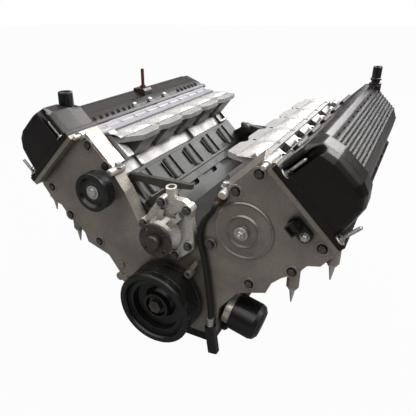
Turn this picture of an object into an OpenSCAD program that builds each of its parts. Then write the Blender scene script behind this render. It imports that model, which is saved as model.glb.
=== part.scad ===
// Ten-cylinder engine in a right-angle V, long block with damper, idler and coolant pump.
// +Z up, +X right seen from the front, +Y to the rear; origin at the centre of the
// crankshaft's rear flange face. Bank frame: x outward, z along the bores.

/* [Cylinders] */
// Cylinders in each bank
cylinders_per_bank = 5; // [3:1:6]
// Bore of a cylinder
bore_d = 90; // [84:0.5:91]
// Distance between neighbouring bores
bore_pitch = 100; // [98:1:108]
// Piston stroke
stroke = 96; // [88:1:98]
// Connecting rod, centre to centre
rod_length = 158; // [152:1:166]
// Gudgeon pin centre to piston crown
piston_crown_h = 35; // [34:0.5:38]
// Right bank ahead of the left one
bank_stagger = 24; // [23:1:26]

/* [Block] */
// Half width of a bank on the valley side
bank_inner_w = 70; // [64:1:72]
// Half width of a bank on the outer side
bank_outer_w = 76; // [70:1:80]
// Half width of the crankcase skirt
skirt_half_w = 104; // [102:1:112]
// Depth of the skirt below the crank centre
skirt_depth = 70; // [66:1:76]
// Half width of the pan rail
pan_rail_half_w = 118; // [116:1:126]
// Radius of the crankcase bays
bay_r = 90; // [89:0.5:93]
// Thickness of a main bearing wall
main_wall = 24; // [20:1:26]
// Top of the bell housing flange
bell_top_z = 214; // [205:1:220]
// Half width of the bell housing flange
bell_half_w = 190; // [180:1:205]
// Thickness of the bell housing flange
bell_flange_t = 16; // [12:1:20]
// Radius of the bell housing bolt holes
bell_hole_r = 5.5; // [4:0.25:7]

/* [Crankshaft] */
// Main journal radius
main_r = 33; // [30:0.5:34]
// Crank pin radius
pin_r = 26; // [24:0.5:27]
// Thickness of a bearing shell
shell_t = 2.5; // [2:0.25:3]
// Width of a connecting rod at its big end
rod_w = 22; // [18:1:22]
// Radius of the rear flange
crank_flange_r = 52; // [48:1:56]
// Depth of the rear flange behind the block
crank_flange_t = 14; // [12:1:18]
// Radius of the pilot bore in the rear flange
pilot_r = 16; // [12:0.5:20]
// Radius of the rear flange's bolt circle
flywheel_bolt_circle_r = 40; // [36:0.5:42]
// Radius of the crank nose
nose_r = 20; // [18:0.5:22]

/* [Heads] */
// Head height from the gasket to the cover rail
head_height = 119; // [114:1:124]
// Half width of a head at the cover rail on the valley side
rail_inner_w = 77; // [74:1:80]
// Half width of a head at the cover rail on the outer side
rail_outer_w = 84; // [80:1:88]
// Camshaft centre below the cover rail
cam_drop = 20; // [18:1:24]
// Camshaft journal radius
cam_journal_r = 14; // [12:0.5:15]
// Height of the intake flange face above the crank centre
intake_face_z = 300; // [296:1:304]
// Inner edge of the intake flange from the centre plane
intake_inner_x = 96; // [92:1:100]
// Thickness of the intake flange
intake_flange_t = 11; // [9:0.5:14]
// Width of a port runner along the engine
runner_w = 62; // [56:1:66]
// Half length of an intake port opening
port_half_l = 17; // [12:0.5:18]
// Radius of an intake port's ends
port_r = 13; // [10:0.5:14]
// Inner row of intake bolts from the centre plane
intake_bolt_x = 114; // [111:0.5:117]
// Exhaust port radius
exhaust_r = 16; // [13:0.5:18]
// Spark plug well radius
plug_well_r = 11; // [10:0.5:12]

/* [Cam covers] */
// Height of a cam cover over its rail at the crest
cover_crest_h = 68; // [62:1:74]
// Height of the front dome over the rail
dome_h = 88; // [82:1:94]
// Wall of a cam cover
cover_wall = 4; // [3:0.5:5]
// Forward reach of the front dome ahead of the timing cover
dome_reach = 24; // [20:1:28]
// Width of the band that seals a cover to its rail
cover_rail_t = 9; // [7:0.5:11]
// Ribs along the crest
crest_ribs = 8; // [5:1:10]

/* [Timing case] */
// Depth of the timing cover
timing_depth = 32; // [31:0.5:36]
// Wall of the timing cover
timing_wall = 5; // [4:0.5:6]
// Radius of the round boss on the right
boss_ring_r = 54; // [48:1:58]
// Pitch radius of a camshaft sprocket
cam_sprocket_r = 54; // [50:1:56]
// Width of a timing chain
chain_w = 10; // [8:0.5:10]
// Radial thickness of a timing chain
chain_t = 8; // [6:0.5:9]

/* [Front drive] */
// Radius of the damper pulley
damper_r = 77.5; // [72:0.5:84]
// Width of the damper pulley
damper_w = 57; // [48:1:60]
// Gap between the damper and the timing cover
damper_gap = 7; // [6:0.5:10]
// Radius of the idler pulley
idler_r = 39; // [34:0.5:42]
// Width of the idler pulley
idler_w = 26; // [22:1:30]
// Height of the coolant pump shaft
pump_z = 143; // [138:1:148]
// Radius of the coolant pump's pulley flange
pump_flange_r = 34; // [30:0.5:38]
// Radius of the coolant pump's bolt circle
pump_bolt_circle_r = 26; // [22:0.5:28]
// Radius of the pump's centring nose
pump_nose_r = 14; // [10:0.5:16]

/* [Oil system] */
// Depth of the shallow part of the oil pan
pan_shallow = 26; // [20:1:40]
// Depth of the oil sump
sump_depth = 122; // [100:1:130]
// Wall of the oil pan
pan_wall = 3; // [2:0.5:4]
// Radius of the oil filter
filter_r = 38; // [33:0.5:40]
// Length of the oil filter
filter_len = 62; // [56:1:80]

/* [Hidden] */
$fn = 48;
bank_tilt = 45;
clear = 0.3;
eps = 0.02;
gasket_t = 1.2;
// Lengths along the bank
deck_h = stroke / 2 + rod_length + piston_crown_h + 1;
head_h0 = deck_h + gasket_t;
rail_h = head_h0 + head_height;
cam_h = rail_h - cam_drop;
cover_h0 = rail_h + gasket_t;
// Stations along the engine
block_rear = -crank_flange_t;
first_main_in = 14;
last_main_in = 20;
block_len = cylinders_per_bank * bore_pitch + first_main_in + last_main_in;
block_front = block_rear - block_len;
case_rear = block_front - gasket_t;
case_front = case_rear - timing_depth;
dome_front = case_front - dome_reach;
damper_rear = case_front - damper_gap;
damper_front = damper_rear - damper_w;
cover_rear = block_rear + 16;
function main_y(k) = block_front + first_main_in + k * bore_pitch;
function throw_y(k) = main_y(k) + bore_pitch / 2;
function bore_y(side, k) = throw_y(k) - side * bank_stagger / 2;
function throw_angle(k) = 90 + k * 720 / cylinders_per_bank;
SIDES = [-1, 1];
bores = [0 : cylinders_per_bank - 1];
mains = [0 : cylinders_per_bank];

// Helpers
function bank_pt(w, h, side = 1) =
    [side * (h * sin(bank_tilt) + w * cos(bank_tilt)), h * cos(bank_tilt) - w * sin(bank_tilt)];
function unit(v) = v / norm(v);
function corner(a, b, c, r, n) =
    let (u = unit(a - b), v = unit(c - b), half = acos(u * v) / 2,
         d = min(r / tan(half), norm(a - b) * 0.48, norm(c - b) * 0.48), rr = d * tan(half),
         m = b + unit(u + v) * (d / cos(half)), p = b + u * d - m, q = b + v * d - m,
         a0 = atan2(p.y, p.x), turn = (atan2(q.y, q.x) - a0 + 540) % 360 - 180)
    [for (i = [0 : n]) m + rr * [cos(a0 + turn * i / n), sin(a0 + turn * i / n)]];
function rounded(pts, r, n = 4) =
    let (k = len(pts))
    [for (i = [0 : k - 1]) each corner(pts[(i + k - 1) % k], pts[i], pts[(i + 1) % k], r, n)];
function reversed(v) = [for (i = [len(v) - 1 : -1 : 0]) v[i]];
function both_sides(v) = concat(v, [for (p = reversed(v)) [-p.x, p.y]]);

module on_bank(side) {
    if (side < 0) mirror([1, 0, 0]) rotate([0, bank_tilt, 0]) children();
    else rotate([0, bank_tilt, 0]) children();
}
module along_y(y0, y1) {
    translate([0, y1, 0]) rotate([90, 0, 0]) linear_extrude(y1 - y0) children();
}
module rod_y(x, z, r, y0, y1) {
    translate([x, y1, z]) rotate([90, 0, 0]) cylinder(r = r, h = y1 - y0);
}
module ring_y(x, z, r_out, r_in, y0, y1) {
    translate([x, y1, z]) rotate([90, 0, 0]) difference() {
        cylinder(r = r_out, h = y1 - y0);
        translate([0, 0, -1]) cylinder(r = r_in, h = y1 - y0 + 2);
    }
}
module box(x0, x1, y0, y1, z0, z1) {
    translate([x0, y0, z0]) cube([x1 - x0, y1 - y0, z1 - z0]);
}
module hex_prism(across, h) {
    cylinder(r = across / sqrt(3), h = h, $fn = 6);
}
// Flanged hexagon bolt, seat at z = 0, shank downward
module bolt(d, len) {
    translate([0, 0, -len]) cylinder(r = d / 2, h = len + 1);
    cylinder(r = d * 1.05, h = d * 0.2);
    translate([0, 0, d * 0.15]) hex_prism(d * 1.5, d * 0.65);
}
// Stud with a nut, seat at z = 0
module stud(d, below, above) {
    translate([0, 0, -below]) cylinder(r = d / 2, h = below + above - d * 0.5);
    translate([0, 0, above - d * 0.5 - eps]) cylinder(r1 = d / 2, r2 = d * 0.2, h = d * 0.5);
    cylinder(r = d, h = d * 0.2);
    translate([0, 0, d * 0.15]) hex_prism(d * 1.55, d * 0.8);
}

// Cylinder block
skirt_z = -skirt_depth;
pan_flange_t = 10;
valley_h = 112;
case_wall_h = 118;
head_bolt_r = 6;
head_bolt_w = 54;
bore_foot = sqrt(bay_r * bay_r - bore_d * bore_d / 4) - 4;
block_side = [[pan_rail_half_w, skirt_z], [pan_rail_half_w, skirt_z + pan_flange_t],
    [skirt_half_w, skirt_z + pan_flange_t + 8], [skirt_half_w, 0], bank_pt(bank_outer_w, case_wall_h),
    bank_pt(bank_outer_w, deck_h), bank_pt(-bank_inner_w, deck_h), bank_pt(-bank_inner_w, valley_h)];
bell_side = [[pan_rail_half_w + 10, skirt_z], [bell_half_w * 0.86, skirt_z + 20], [bell_half_w, 10],
    [bell_half_w, 60], [bell_half_w * 0.82, 136], [bell_half_w * 0.52, 190], [60, bell_top_z]];
bell_holes = [[150, -30], [150, 100], [82, 180]];
mount_pad_y = block_front + block_len * 0.42;
mount_pad_z = -18;
mount_face_x = skirt_half_w + 26;
mount_hole_dy = 80;
mount_hole_dz = 44;
module bore_cut(side, k) {
    on_bank(side) translate([0, bore_y(side, k), bore_foot]) cylinder(r = bore_d / 2, h = deck_h);
}
module bay_cut(k) {
    rod_y(0, 0, bay_r, main_y(k) + main_wall / 2, main_y(k + 1) - main_wall / 2);
}
module valley_panel(side, k) {
    on_bank(side) translate([-bank_inner_w, throw_y(k) - side * bank_stagger / 2, deck_h - 62])
        rotate([0, 90, 0]) linear_extrude(16, center = true) polygon(
            rounded([[-46, -36], [40, -36], [40, 36], [-46, 36]], 9));
}
module mount_pad(side) {
    translate([side * (mount_face_x + skirt_half_w - 12) / 2, mount_pad_y, mount_pad_z])
        cube([mount_face_x - skirt_half_w + 12, mount_hole_dy + 30, mount_hole_dz + 26], center = true);
}
module block() {
    color([0.2, 0.2, 0.21]) difference() {
        union() {
            along_y(block_front, block_rear) polygon(both_sides(block_side));
            along_y(block_rear - bell_flange_t, block_rear) polygon(rounded(both_sides(bell_side), 18));
            for (side = SIDES) mount_pad(side);
        }
        for (side = SIDES, k = bores) bore_cut(side, k);
        for (k = bores) bay_cut(k);
        rod_y(0, 0, main_r + shell_t, block_front - 1, block_rear + 1);
        box(-bay_r, bay_r, block_front - 1, block_rear + 1, skirt_z - 1, 0);
        for (side = SIDES, k = bores) valley_panel(side, k);
        for (side = SIDES, p = bell_holes)
            rod_y(side * p.x, p.y, bell_hole_r, block_rear - bell_flange_t - 1, block_rear + 1);
        for (side = SIDES, dy = [-0.5, 0.5], dz = [-0.5, 0.5])
            translate([side * mount_face_x, mount_pad_y + dy * mount_hole_dy, mount_pad_z + dz * mount_hole_dz])
                rotate([0, -side * 90, 0]) translate([0, 0, -1]) cylinder(r = 5, h = 21);
        for (side = SIDES, k = mains, w = [-head_bolt_w, head_bolt_w])
            on_bank(side) translate([w, deck_bolt_y(side, k), deck_h - 70]) cylinder(r = head_bolt_r, h = 71);
    }
}
function deck_bolt_y(side, k) = min(max(bore_y(side, 0) + (k - 0.5) * bore_pitch, block_front + 12), block_rear - 12);

// Block fittings
module core_plugs() {
    color([0.62, 0.6, 0.52]) for (side = SIDES, k = bores)
        on_bank(side) translate([-bank_inner_w + 8, bore_y(side, k), deck_h - 60]) rotate([0, -90, 0])
            rotate_extrude() polygon([[0, clear], [17, clear], [17, 6], [15, 6], [14, 2.5], [0, 2.5]]);
}
cap_half_w = bay_r - 12;
cap_depth = 58;
module main_caps() {
    color([0.24, 0.24, 0.25]) for (k = mains) difference() {
        along_y(cap_y0(k), cap_y1(k)) polygon(both_sides([[cap_half_w, 0], [cap_half_w, -32], [49, -32],
            [43, -cap_depth]]));
        rod_y(0, 0, main_r + shell_t, cap_y0(k) - 1, cap_y1(k) + 1);
    }
}
function cap_y0(k) = main_y(k) - main_wall / 2 + 1;
function cap_y1(k) = main_y(k) + main_wall / 2 - 1;
module main_cap_bolts() {
    color([0.45, 0.45, 0.47]) for (k = mains, x = [-63, 63])
        translate([x, main_y(k), -32]) mirror([0, 0, 1]) bolt_head(12);
}
module bolt_head(d) {
    cylinder(r = d * 1.05, h = d * 0.2);
    translate([0, 0, d * 0.15]) hex_prism(d * 1.5, d * 0.65);
}
module main_bearings() {
    color([0.7, 0.68, 0.62]) for (k = mains)
        ring_y(0, 0, main_r + shell_t - 0.05, main_r + 0.05, main_y(k) - main_wall / 2 + 2, main_y(k) + main_wall / 2 - 2);
}

// Crankshaft and running gear
crank_r = stroke / 2;
web_t = (bore_pitch - main_wall - 2 * rod_w - 4) / 2;
pin_len = 2 * rod_w + 2;
journal_half = bore_pitch / 2 - pin_len / 2 - web_t + eps;
piston_skirt = 26;
weight_r = min(bay_r - 8, rod_length - crank_r - piston_skirt - 2);
big_end_r = pin_r + shell_t + 8;
module crank_web(angle, y0, y1) {
    rotate([0, -angle, 0]) along_y(y0, y1) polygon(concat(
        [for (a = [-70 : 20 : 70]) [crank_r + (pin_r + 7) * cos(a), (pin_r + 7) * sin(a)]],
        [for (a = [105 : 15 : 255]) [weight_r * cos(a), weight_r * sin(a)]]));
}
module crankshaft() {
    color([0.5, 0.5, 0.52]) union() {
        for (k = mains) rod_y(0, 0, main_r, main_y(k) - journal_half, main_y(k) + journal_half);
        for (k = bores) {
            crank_web(throw_angle(k), throw_y(k) - pin_len / 2 - web_t, throw_y(k) - pin_len / 2);
            crank_web(throw_angle(k), throw_y(k) + pin_len / 2, throw_y(k) + pin_len / 2 + web_t);
            rod_y(crank_r * cos(throw_angle(k)), crank_r * sin(throw_angle(k)), pin_r,
                throw_y(k) - pin_len / 2 - eps, throw_y(k) + pin_len / 2 + eps);
        }
    }
}
// Crank pin and gudgeon pin in the bank frame, from the throw's angle
function bank_axis(side) = 90 - side * bank_tilt;
function pin_w(side, k) = side * crank_r * sin(bank_axis(side) - throw_angle(k));
function pin_h(side, k) = crank_r * cos(bank_axis(side) - throw_angle(k));
function gudgeon_h(side, k) = pin_h(side, k) + sqrt(rod_length * rod_length - pow(pin_w(side, k), 2));
function rod_lean(side, k) = asin(pin_w(side, k) / rod_length);
gudgeon_r = 11;
module pistons(side) {
    color([0.72, 0.72, 0.72]) for (k = bores) on_bank(side)
        translate([0, bore_y(side, k), gudgeon_h(side, k)]) difference() {
            union() {
                rotate_extrude() polygon(piston_half);
                for (s = SIDES) translate([0, s * (pin_boss_in + pin_boss_out) / 2, 0]) rotate([90, 0, 0])
                    cylinder(r = gudgeon_r + 6, h = pin_boss_out - pin_boss_in, center = true);
            }
            rotate([90, 0, 0]) cylinder(r = gudgeon_r, h = bore_d, center = true);
            for (s = SIDES) translate([s * bore_d / 2, 0, -piston_skirt]) cube([26, bore_d, 40], center = true);
        }
}
pin_boss_in = 12.5;
pin_boss_out = 38;
land_r = bore_d / 2 - clear;
groove_r = bore_d / 2 - 4;
piston_grooves = [for (top = [7, 13, 19]) each [[land_r, piston_crown_h - top], [groove_r, piston_crown_h - top],
    [groove_r, piston_crown_h - top - 2], [land_r, piston_crown_h - top - 2]]];
piston_half = concat([[0, piston_crown_h - 3], [bore_d / 2 - 14, piston_crown_h - 3],
    [bore_d / 2 - 10, piston_crown_h], [land_r, piston_crown_h]], piston_grooves,
    [[land_r, -piston_skirt], [bore_d / 2 - 6, -piston_skirt], [bore_d / 2 - 8, piston_crown_h - 15],
        [0, piston_crown_h - 15]]);
module piston_rings() {
    color([0.35, 0.35, 0.36]) for (side = SIDES, k = bores, drop = [7.1, 13.1, 19.1])
        on_bank(side) translate([0, bore_y(side, k), gudgeon_h(side, k) + piston_crown_h - drop - 1.6])
            rotate_extrude() translate([bore_d / 2 - 3.7, 0]) square([3.6, 1.4]);
}
module gudgeon_pins() {
    color([0.78, 0.78, 0.8]) for (side = SIDES, k = bores)
        on_bank(side) translate([0, bore_y(side, k), gudgeon_h(side, k)]) rotate([90, 0, 0]) difference() {
            cylinder(r = gudgeon_r - 0.05, h = bore_d - 16, center = true);
            cylinder(r = gudgeon_r - 4, h = bore_d, center = true);
        }
}
module rods(side) {
    color([0.42, 0.42, 0.44]) for (k = bores) on_bank(side)
        translate([pin_w(side, k), throw_y(k) - side * (rod_w / 2 + 0.5), pin_h(side, k)])
            rotate([0, -rod_lean(side, k), 0]) rotate([90, 0, 0]) difference() {
                union() {
                    cylinder(r = big_end_r, h = rod_w - 1, center = true);
                    translate([0, rod_length, 0]) cylinder(r = gudgeon_r + 6, h = rod_w, center = true);
                    linear_extrude(rod_w * 0.62, center = true) polygon([[-18, 24], [-10, rod_length - 8],
                        [10, rod_length - 8], [18, 24]]);
                    cube([2 * big_end_r + 6, 24, rod_w * 0.8], center = true);
                }
                cylinder(r = pin_r + 0.05, h = 2 * rod_w, center = true);
                translate([0, rod_length, 0]) cylinder(r = gudgeon_r, h = 2 * rod_w, center = true);
                for (z = [-rod_w / 2, rod_w / 2]) translate([0, 0, z]) linear_extrude(rod_w * 0.5, center = true)
                    polygon([[-11, 42], [-5, rod_length - 22], [5, rod_length - 22], [11, 42]]);
            }
}

// Cylinder heads, in the bank frame
chamber_r = bore_d / 2 - 2;
pocket_in_w = -34;
pocket_out_w = 60;
cam_floor = 62;
tower_t = 18;
tower_half_w = 26;
runner_shift = 8;
plug_shift = -15;
plug_w = -rail_inner_w + 3;
plug_lean = 23.3;
valve_dy = 20;
valve_r = 19;
tappet_r = 15;
lobe_reach = 20;
cam_clear = 0.4;
tappet_top = cam_h - lobe_reach - cam_clear;
face_out_x = 168;
head_front = block_front;
head_rear = block_rear - 4;
head_outline = [[-72, head_h0], [78, head_h0], [80, head_h0 + 20], [90, head_h0 + 28], [90, head_h0 + 72],
    [82, head_h0 + 84], [rail_outer_w, rail_h - 12], [rail_outer_w, rail_h], [-rail_inner_w, rail_h],
    [-rail_inner_w, rail_h - 12], [-74, head_h0 + 84], [-74, head_h0 + 20]];
// Runner section on the right bank, in x and z
runner_section = [[intake_inner_x, intake_face_z - intake_flange_t / 2], [face_out_x - 2, intake_face_z - 2],
    bank_pt(-70, head_h0 + 90), bank_pt(-70, head_h0 + 24), bank_pt(-80, head_h0 + 26)];
port_x = (intake_inner_x + face_out_x) / 2 + 6;
intake_bolt_out_x = face_out_x - 7;
port_lean = 18.6;
port_len = 96;
function runner_y(side, k) = bore_y(side, k) + runner_shift;
function plug_y(side, k) = bore_y(side, k) + plug_shift;
module side_of(side) {
    if (side < 0) mirror([1, 0, 0]) children();
    else children();
}
module runner(side, k) {
    along_y(runner_y(side, k) - runner_w / 2, runner_y(side, k) + runner_w / 2)
        polygon(runner_section);
}
// Flange face level with the world, scalloped between the ports
function scallop_end(side, k) = runner_y(side, k) + runner_w / 2 + 16;
module intake_flange(side) {
    translate([0, 0, intake_face_z - intake_flange_t]) linear_extrude(intake_flange_t) polygon(concat(
        [[face_out_x, head_rear], [face_out_x, head_front + 4], [intake_inner_x + 34, head_front + 6]],
        [for (k = bores) each [[intake_inner_x + 1, runner_y(side, k) - runner_w / 2 - 6],
            [intake_inner_x, runner_y(side, k) - runner_w / 2 + 8], [intake_inner_x, runner_y(side, k) + runner_w / 2 - 8],
            if (scallop_end(side, k) < head_rear - 6) [intake_inner_x + 9, scallop_end(side, k) - 12],
            if (scallop_end(side, k) < head_rear - 6) [intake_inner_x + 9, scallop_end(side, k)]]],
        [[intake_inner_x + 4, head_rear]]));
}
module intake_port(side, k) {
    translate([port_x, runner_y(side, k), intake_face_z + 1]) rotate([0, -port_lean, 0]) {
        for (dy = [-1, 1]) translate([0, dy * (port_half_l - port_r), -port_len]) cylinder(r = port_r, h = port_len);
        translate([-port_r, -(port_half_l - port_r), -port_len])
            cube([2 * port_r, 2 * (port_half_l - port_r), port_len]);
    }
}
module plug_well(side, k) {
    translate([plug_w, plug_y(side, k), rail_h]) rotate([0, -plug_lean, 0]) {
        translate([0, 0, -88]) cylinder(r = plug_well_r, h = 140);
        translate([0, 0, -124]) cylinder(r = 6, h = 40);
    }
}
module head_solid(side) {
    on_bank(1) along_y(head_front, head_rear) polygon(head_outline);
    for (k = bores) runner(side, k);
    intake_flange(side);
    on_bank(1) {
        for (k = bores) translate([plug_w, plug_y(side, k), rail_h]) rotate([0, -plug_lean, 0])
            translate([0, 0, -40]) cylinder(r = plug_well_r + 5, h = 30);
        rod_y(-rail_inner_w - 4, rail_h - 24, 11, head_front, head_front + 46);
        rod_y(-rail_inner_w - 2, rail_h - 24, 10, head_rear - 40, head_rear);
    }
}
module head(side) {
    color([0.66, 0.65, 0.63]) side_of(side) difference() {
        head_solid(side);
        on_bank(1) {
            difference() {
                box(pocket_in_w, pocket_out_w, head_front + 16, head_rear - 14, head_h0 + cam_floor, rail_h + 1);
                for (k = towers(side)) box(-tower_half_w, tower_half_w, tower_y(side, k) - tower_t / 2,
                    tower_y(side, k) + tower_t / 2, head_h0 + cam_floor - 1, cam_h);
            }
            rod_y(0, cam_h, cam_journal_r, head_front - 1, head_rear - 8);
            for (k = bores) {
                translate([0, bore_y(side, k), head_h0 - 1]) cylinder(r1 = chamber_r, r2 = chamber_r - 2, h = 13);
                plug_well(side, k);
                for (dy = [-valve_dy, valve_dy]) translate([0, bore_y(side, k) + dy, head_h0]) {
                    cylinder(r = valve_r - 2, h = 32);
                    cylinder(r = 3.2, h = 60);
                    translate([0, 0, 40]) cylinder(r = tappet_r, h = 30);
                }
                translate([0, bore_y(side, k) - valve_dy + 4, head_h0 + 24]) rotate([0, 76, 0])
                    cylinder(r = exhaust_r, h = 110);
            }
            for (k = bores, dy = [-1, 1]) translate([84, bore_y(side, k) + dy * 33, head_h0 + 50])
                rotate([0, 90, 0]) cylinder(r = 4, h = 8);
            rod_y(-rail_inner_w - 4, rail_h - 24, 5, head_front - 1, head_front + 30);
        }
        for (k = bores) intake_port(side, k);
        for (k = mains) translate([intake_bolt_out_x, flange_bolt_y(side, k), intake_face_z - 30])
            cylinder(r = 4, h = 31);
        for (k = [1 : cylinders_per_bank - 1]) translate([intake_bolt_x, flange_bolt_y(side, k), intake_face_z - 30])
            cylinder(r = 4, h = 31);
        on_bank(1) for (y = cover_bolt_y) translate([cover_bolt_w, y, rail_h - 14]) cylinder(r = 3.1, h = 16);
    }
}
// The bank's end towers are its front and rear walls
function towers(side) = side > 0 ? [1 : cylinders_per_bank] : [0 : cylinders_per_bank - 1];
function tower_y(side, k) = bore_y(side, 0) + (k - 0.5) * bore_pitch;
function flange_bolt_y(side, k) = min(max(runner_y(side, 0) + (k - 0.5) * bore_pitch, head_front + 16), head_rear - 10);
module head_gasket(side) {
    color([0.3, 0.3, 0.32]) on_bank(side) difference() {
        translate([0, 0, deck_h]) linear_extrude(gasket_t) polygon([[-bank_inner_w + 1, head_front],
            [bank_outer_w - 1, head_front], [bank_outer_w - 1, head_rear], [-bank_inner_w + 1, head_rear]]);
        for (k = bores) translate([0, bore_y(side, k), deck_h - 1]) cylinder(r = bore_d / 2 + 1, h = gasket_t + 2);
    }
}

// Valve gear
module valves(side) {
    color([0.55, 0.55, 0.56]) on_bank(side) for (k = bores, dy = [-valve_dy, valve_dy])
        translate([0, bore_y(side, k) + dy, head_h0]) rotate_extrude() polygon([[0, 9],
            [valve_r - 2 - clear, 9], [valve_r - 2 - clear, 12], [8, 17], [4, 24], [3, 30], [3, 52], [0, 52]]);
}
module tappets(side) {
    color([0.6, 0.6, 0.62]) on_bank(side) for (k = bores, dy = [-valve_dy, valve_dy])
        translate([0, bore_y(side, k) + dy, 0]) rotate_extrude() polygon([[0, head_h0 + 52.1],
            [5, head_h0 + 52.1], [5, tappet_top - 3], [tappet_r - 2, tappet_top - 3], [tappet_r - 2, head_h0 + 44],
            [tappet_r - 0.1, head_h0 + 44], [tappet_r - 0.1, tappet_top - 1], [tappet_r - 1, tappet_top],
            [0, tappet_top]]);
}
cam_front = case_rear - 1;
cam_rear = head_rear - 10;
lobe_base_r = 13;
lobe_nose_r = 8;
lobe_w = 11;
module lobe(angle) {
    offset_r = lobe_reach - lobe_nose_r;
    lean = 90 - asin((lobe_base_r - lobe_nose_r) / offset_r);
    rotate([0, 0, angle]) {
        cylinder(r = lobe_base_r, h = lobe_w, center = true);
        translate([offset_r, 0, 0]) cylinder(r = lobe_nose_r, h = lobe_w, center = true);
        linear_extrude(lobe_w, center = true) polygon([
            [lobe_base_r * cos(lean), lobe_base_r * sin(lean)],
            [offset_r + lobe_nose_r * cos(lean), lobe_nose_r * sin(lean)],
            [offset_r + lobe_nose_r * cos(lean), -lobe_nose_r * sin(lean)],
            [lobe_base_r * cos(lean), -lobe_base_r * sin(lean)]]);
    }
}
module camshaft(side) {
    color([0.38, 0.38, 0.4]) on_bank(side) {
        rod_y(0, cam_h, 11, cam_front, cam_rear);
        rod_y(0, cam_h, cam_journal_r - 0.05, head_front - 0.6, head_front + 15.5);
        rod_y(0, cam_h, cam_journal_r - 0.05, head_rear - 13.5, cam_rear);
        for (k = towers(side)) rod_y(0, cam_h, cam_journal_r - 0.05, tower_y(side, k) - tower_t / 2 - 1,
            tower_y(side, k) + tower_t / 2 + 1);
        for (k = bores, dy = [-1, 1])
            translate([0, bore_y(side, k) + dy * valve_dy, cam_h]) rotate([90, 0, 0])
                lobe(throw_angle(k) / 2 + dy * 54);
    }
}
module cam_caps(side) {
    color([0.6, 0.6, 0.58]) on_bank(side) for (k = towers(side)) difference() {
        along_y(tower_y(side, k) - tower_t / 2 + 1, tower_y(side, k) + tower_t / 2 - 1) polygon(rounded([
            [-tower_half_w, cam_h], [-tower_half_w, cam_h + 9], [-cam_journal_r - 2, cam_h + 9], [-10, cam_h + cam_journal_r + 7],
            [10, cam_h + cam_journal_r + 7], [cam_journal_r + 2, cam_h + 9], [tower_half_w, cam_h + 9], [tower_half_w, cam_h]], 2));
        rod_y(0, cam_h, cam_journal_r, tower_y(side, k) - tower_t, tower_y(side, k) + tower_t);
    }
}
module spark_plugs() {
    color([0.86, 0.85, 0.8]) for (side = SIDES, k = bores) on_bank(side)
        translate([plug_w, plug_y(side, k), rail_h]) rotate([0, -plug_lean, 0]) {
            translate([0, 0, -118]) cylinder(r = 5.5, h = 32);
            translate([0, 0, -88 + clear]) cylinder(r = 8.5, h = 5);
            translate([0, 0, -84]) hex_prism(16, 8);
            translate([0, 0, -77]) cylinder(r1 = 6, r2 = 5, h = 34);
            translate([0, 0, -44]) cylinder(r = 3, h = 10);
        }
}

// Cam covers
dome_len = 92;
cover_inner = [[-72, 4], [-72, 54], [-64, cover_crest_h - 3], [-54, cover_crest_h], [20, cover_crest_h],
    [42, cover_crest_h - 10], [57, cover_crest_h - 30], [66, 6]];
cover_inner_left = [[-72, 4], [-70, 20], [-52, cover_crest_h - 6], [-42, cover_crest_h], [20, cover_crest_h],
    [42, cover_crest_h - 10], [57, cover_crest_h - 30], [66, 6]];
dome_section = [[-73, 4], [-73, dome_h - 30], [-60, dome_h - 9], [-32, dome_h - 1], [18, dome_h], [36, dome_h - 6],
    [52, dome_h - 22], [60, dome_h - 48], [67, 6]];
function raised(pts) = [for (p = pts) [p.x, p.y + cover_h0]];
function drawn_in(pts, d) = [for (p = pts) [p.x * (1 - d / 80), max(p.y, 4) * (1 - d / dome_h)]];
module thin_slice(pts, y) {
    along_y(y, y + 0.5) polygon(raised(pts));
}
module dome_form() {
    hull() {
        thin_slice(drawn_in(dome_section, 12), dome_front);
        thin_slice(drawn_in(dome_section, 4), dome_front + 5);
        thin_slice(dome_section, dome_front + 16);
        thin_slice(dome_section, dome_front + 56);
        thin_slice(drawn_in(dome_section, 8), dome_front + 74);
        thin_slice(cover_inner, dome_front + dome_len);
    }
}
module cover_cavity() {
    box(-32, 60, case_front + 2, cover_rear - 6, cover_h0 - 1, cover_h0 + 34);
    along_y(case_front + 2, cover_rear - 6) polygon(raised([[-32, 30], [-32, cover_crest_h - 12],
        [-24, cover_crest_h - cover_wall], [16, cover_crest_h - cover_wall], [36, cover_crest_h - 14], [50, cover_crest_h - 34],
        [54, 30]]));
    rod_y(0, cam_h, cam_sprocket_r + chain_t / 2 + 5, dome_front + 18, dome_front + 74);
}
module well_scallop(side, k) {
    translate([plug_w, plug_y(side, k), rail_h]) rotate([0, -plug_lean, 0]) cylinder(r = plug_well_r + 8, h = 90);
}
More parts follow.
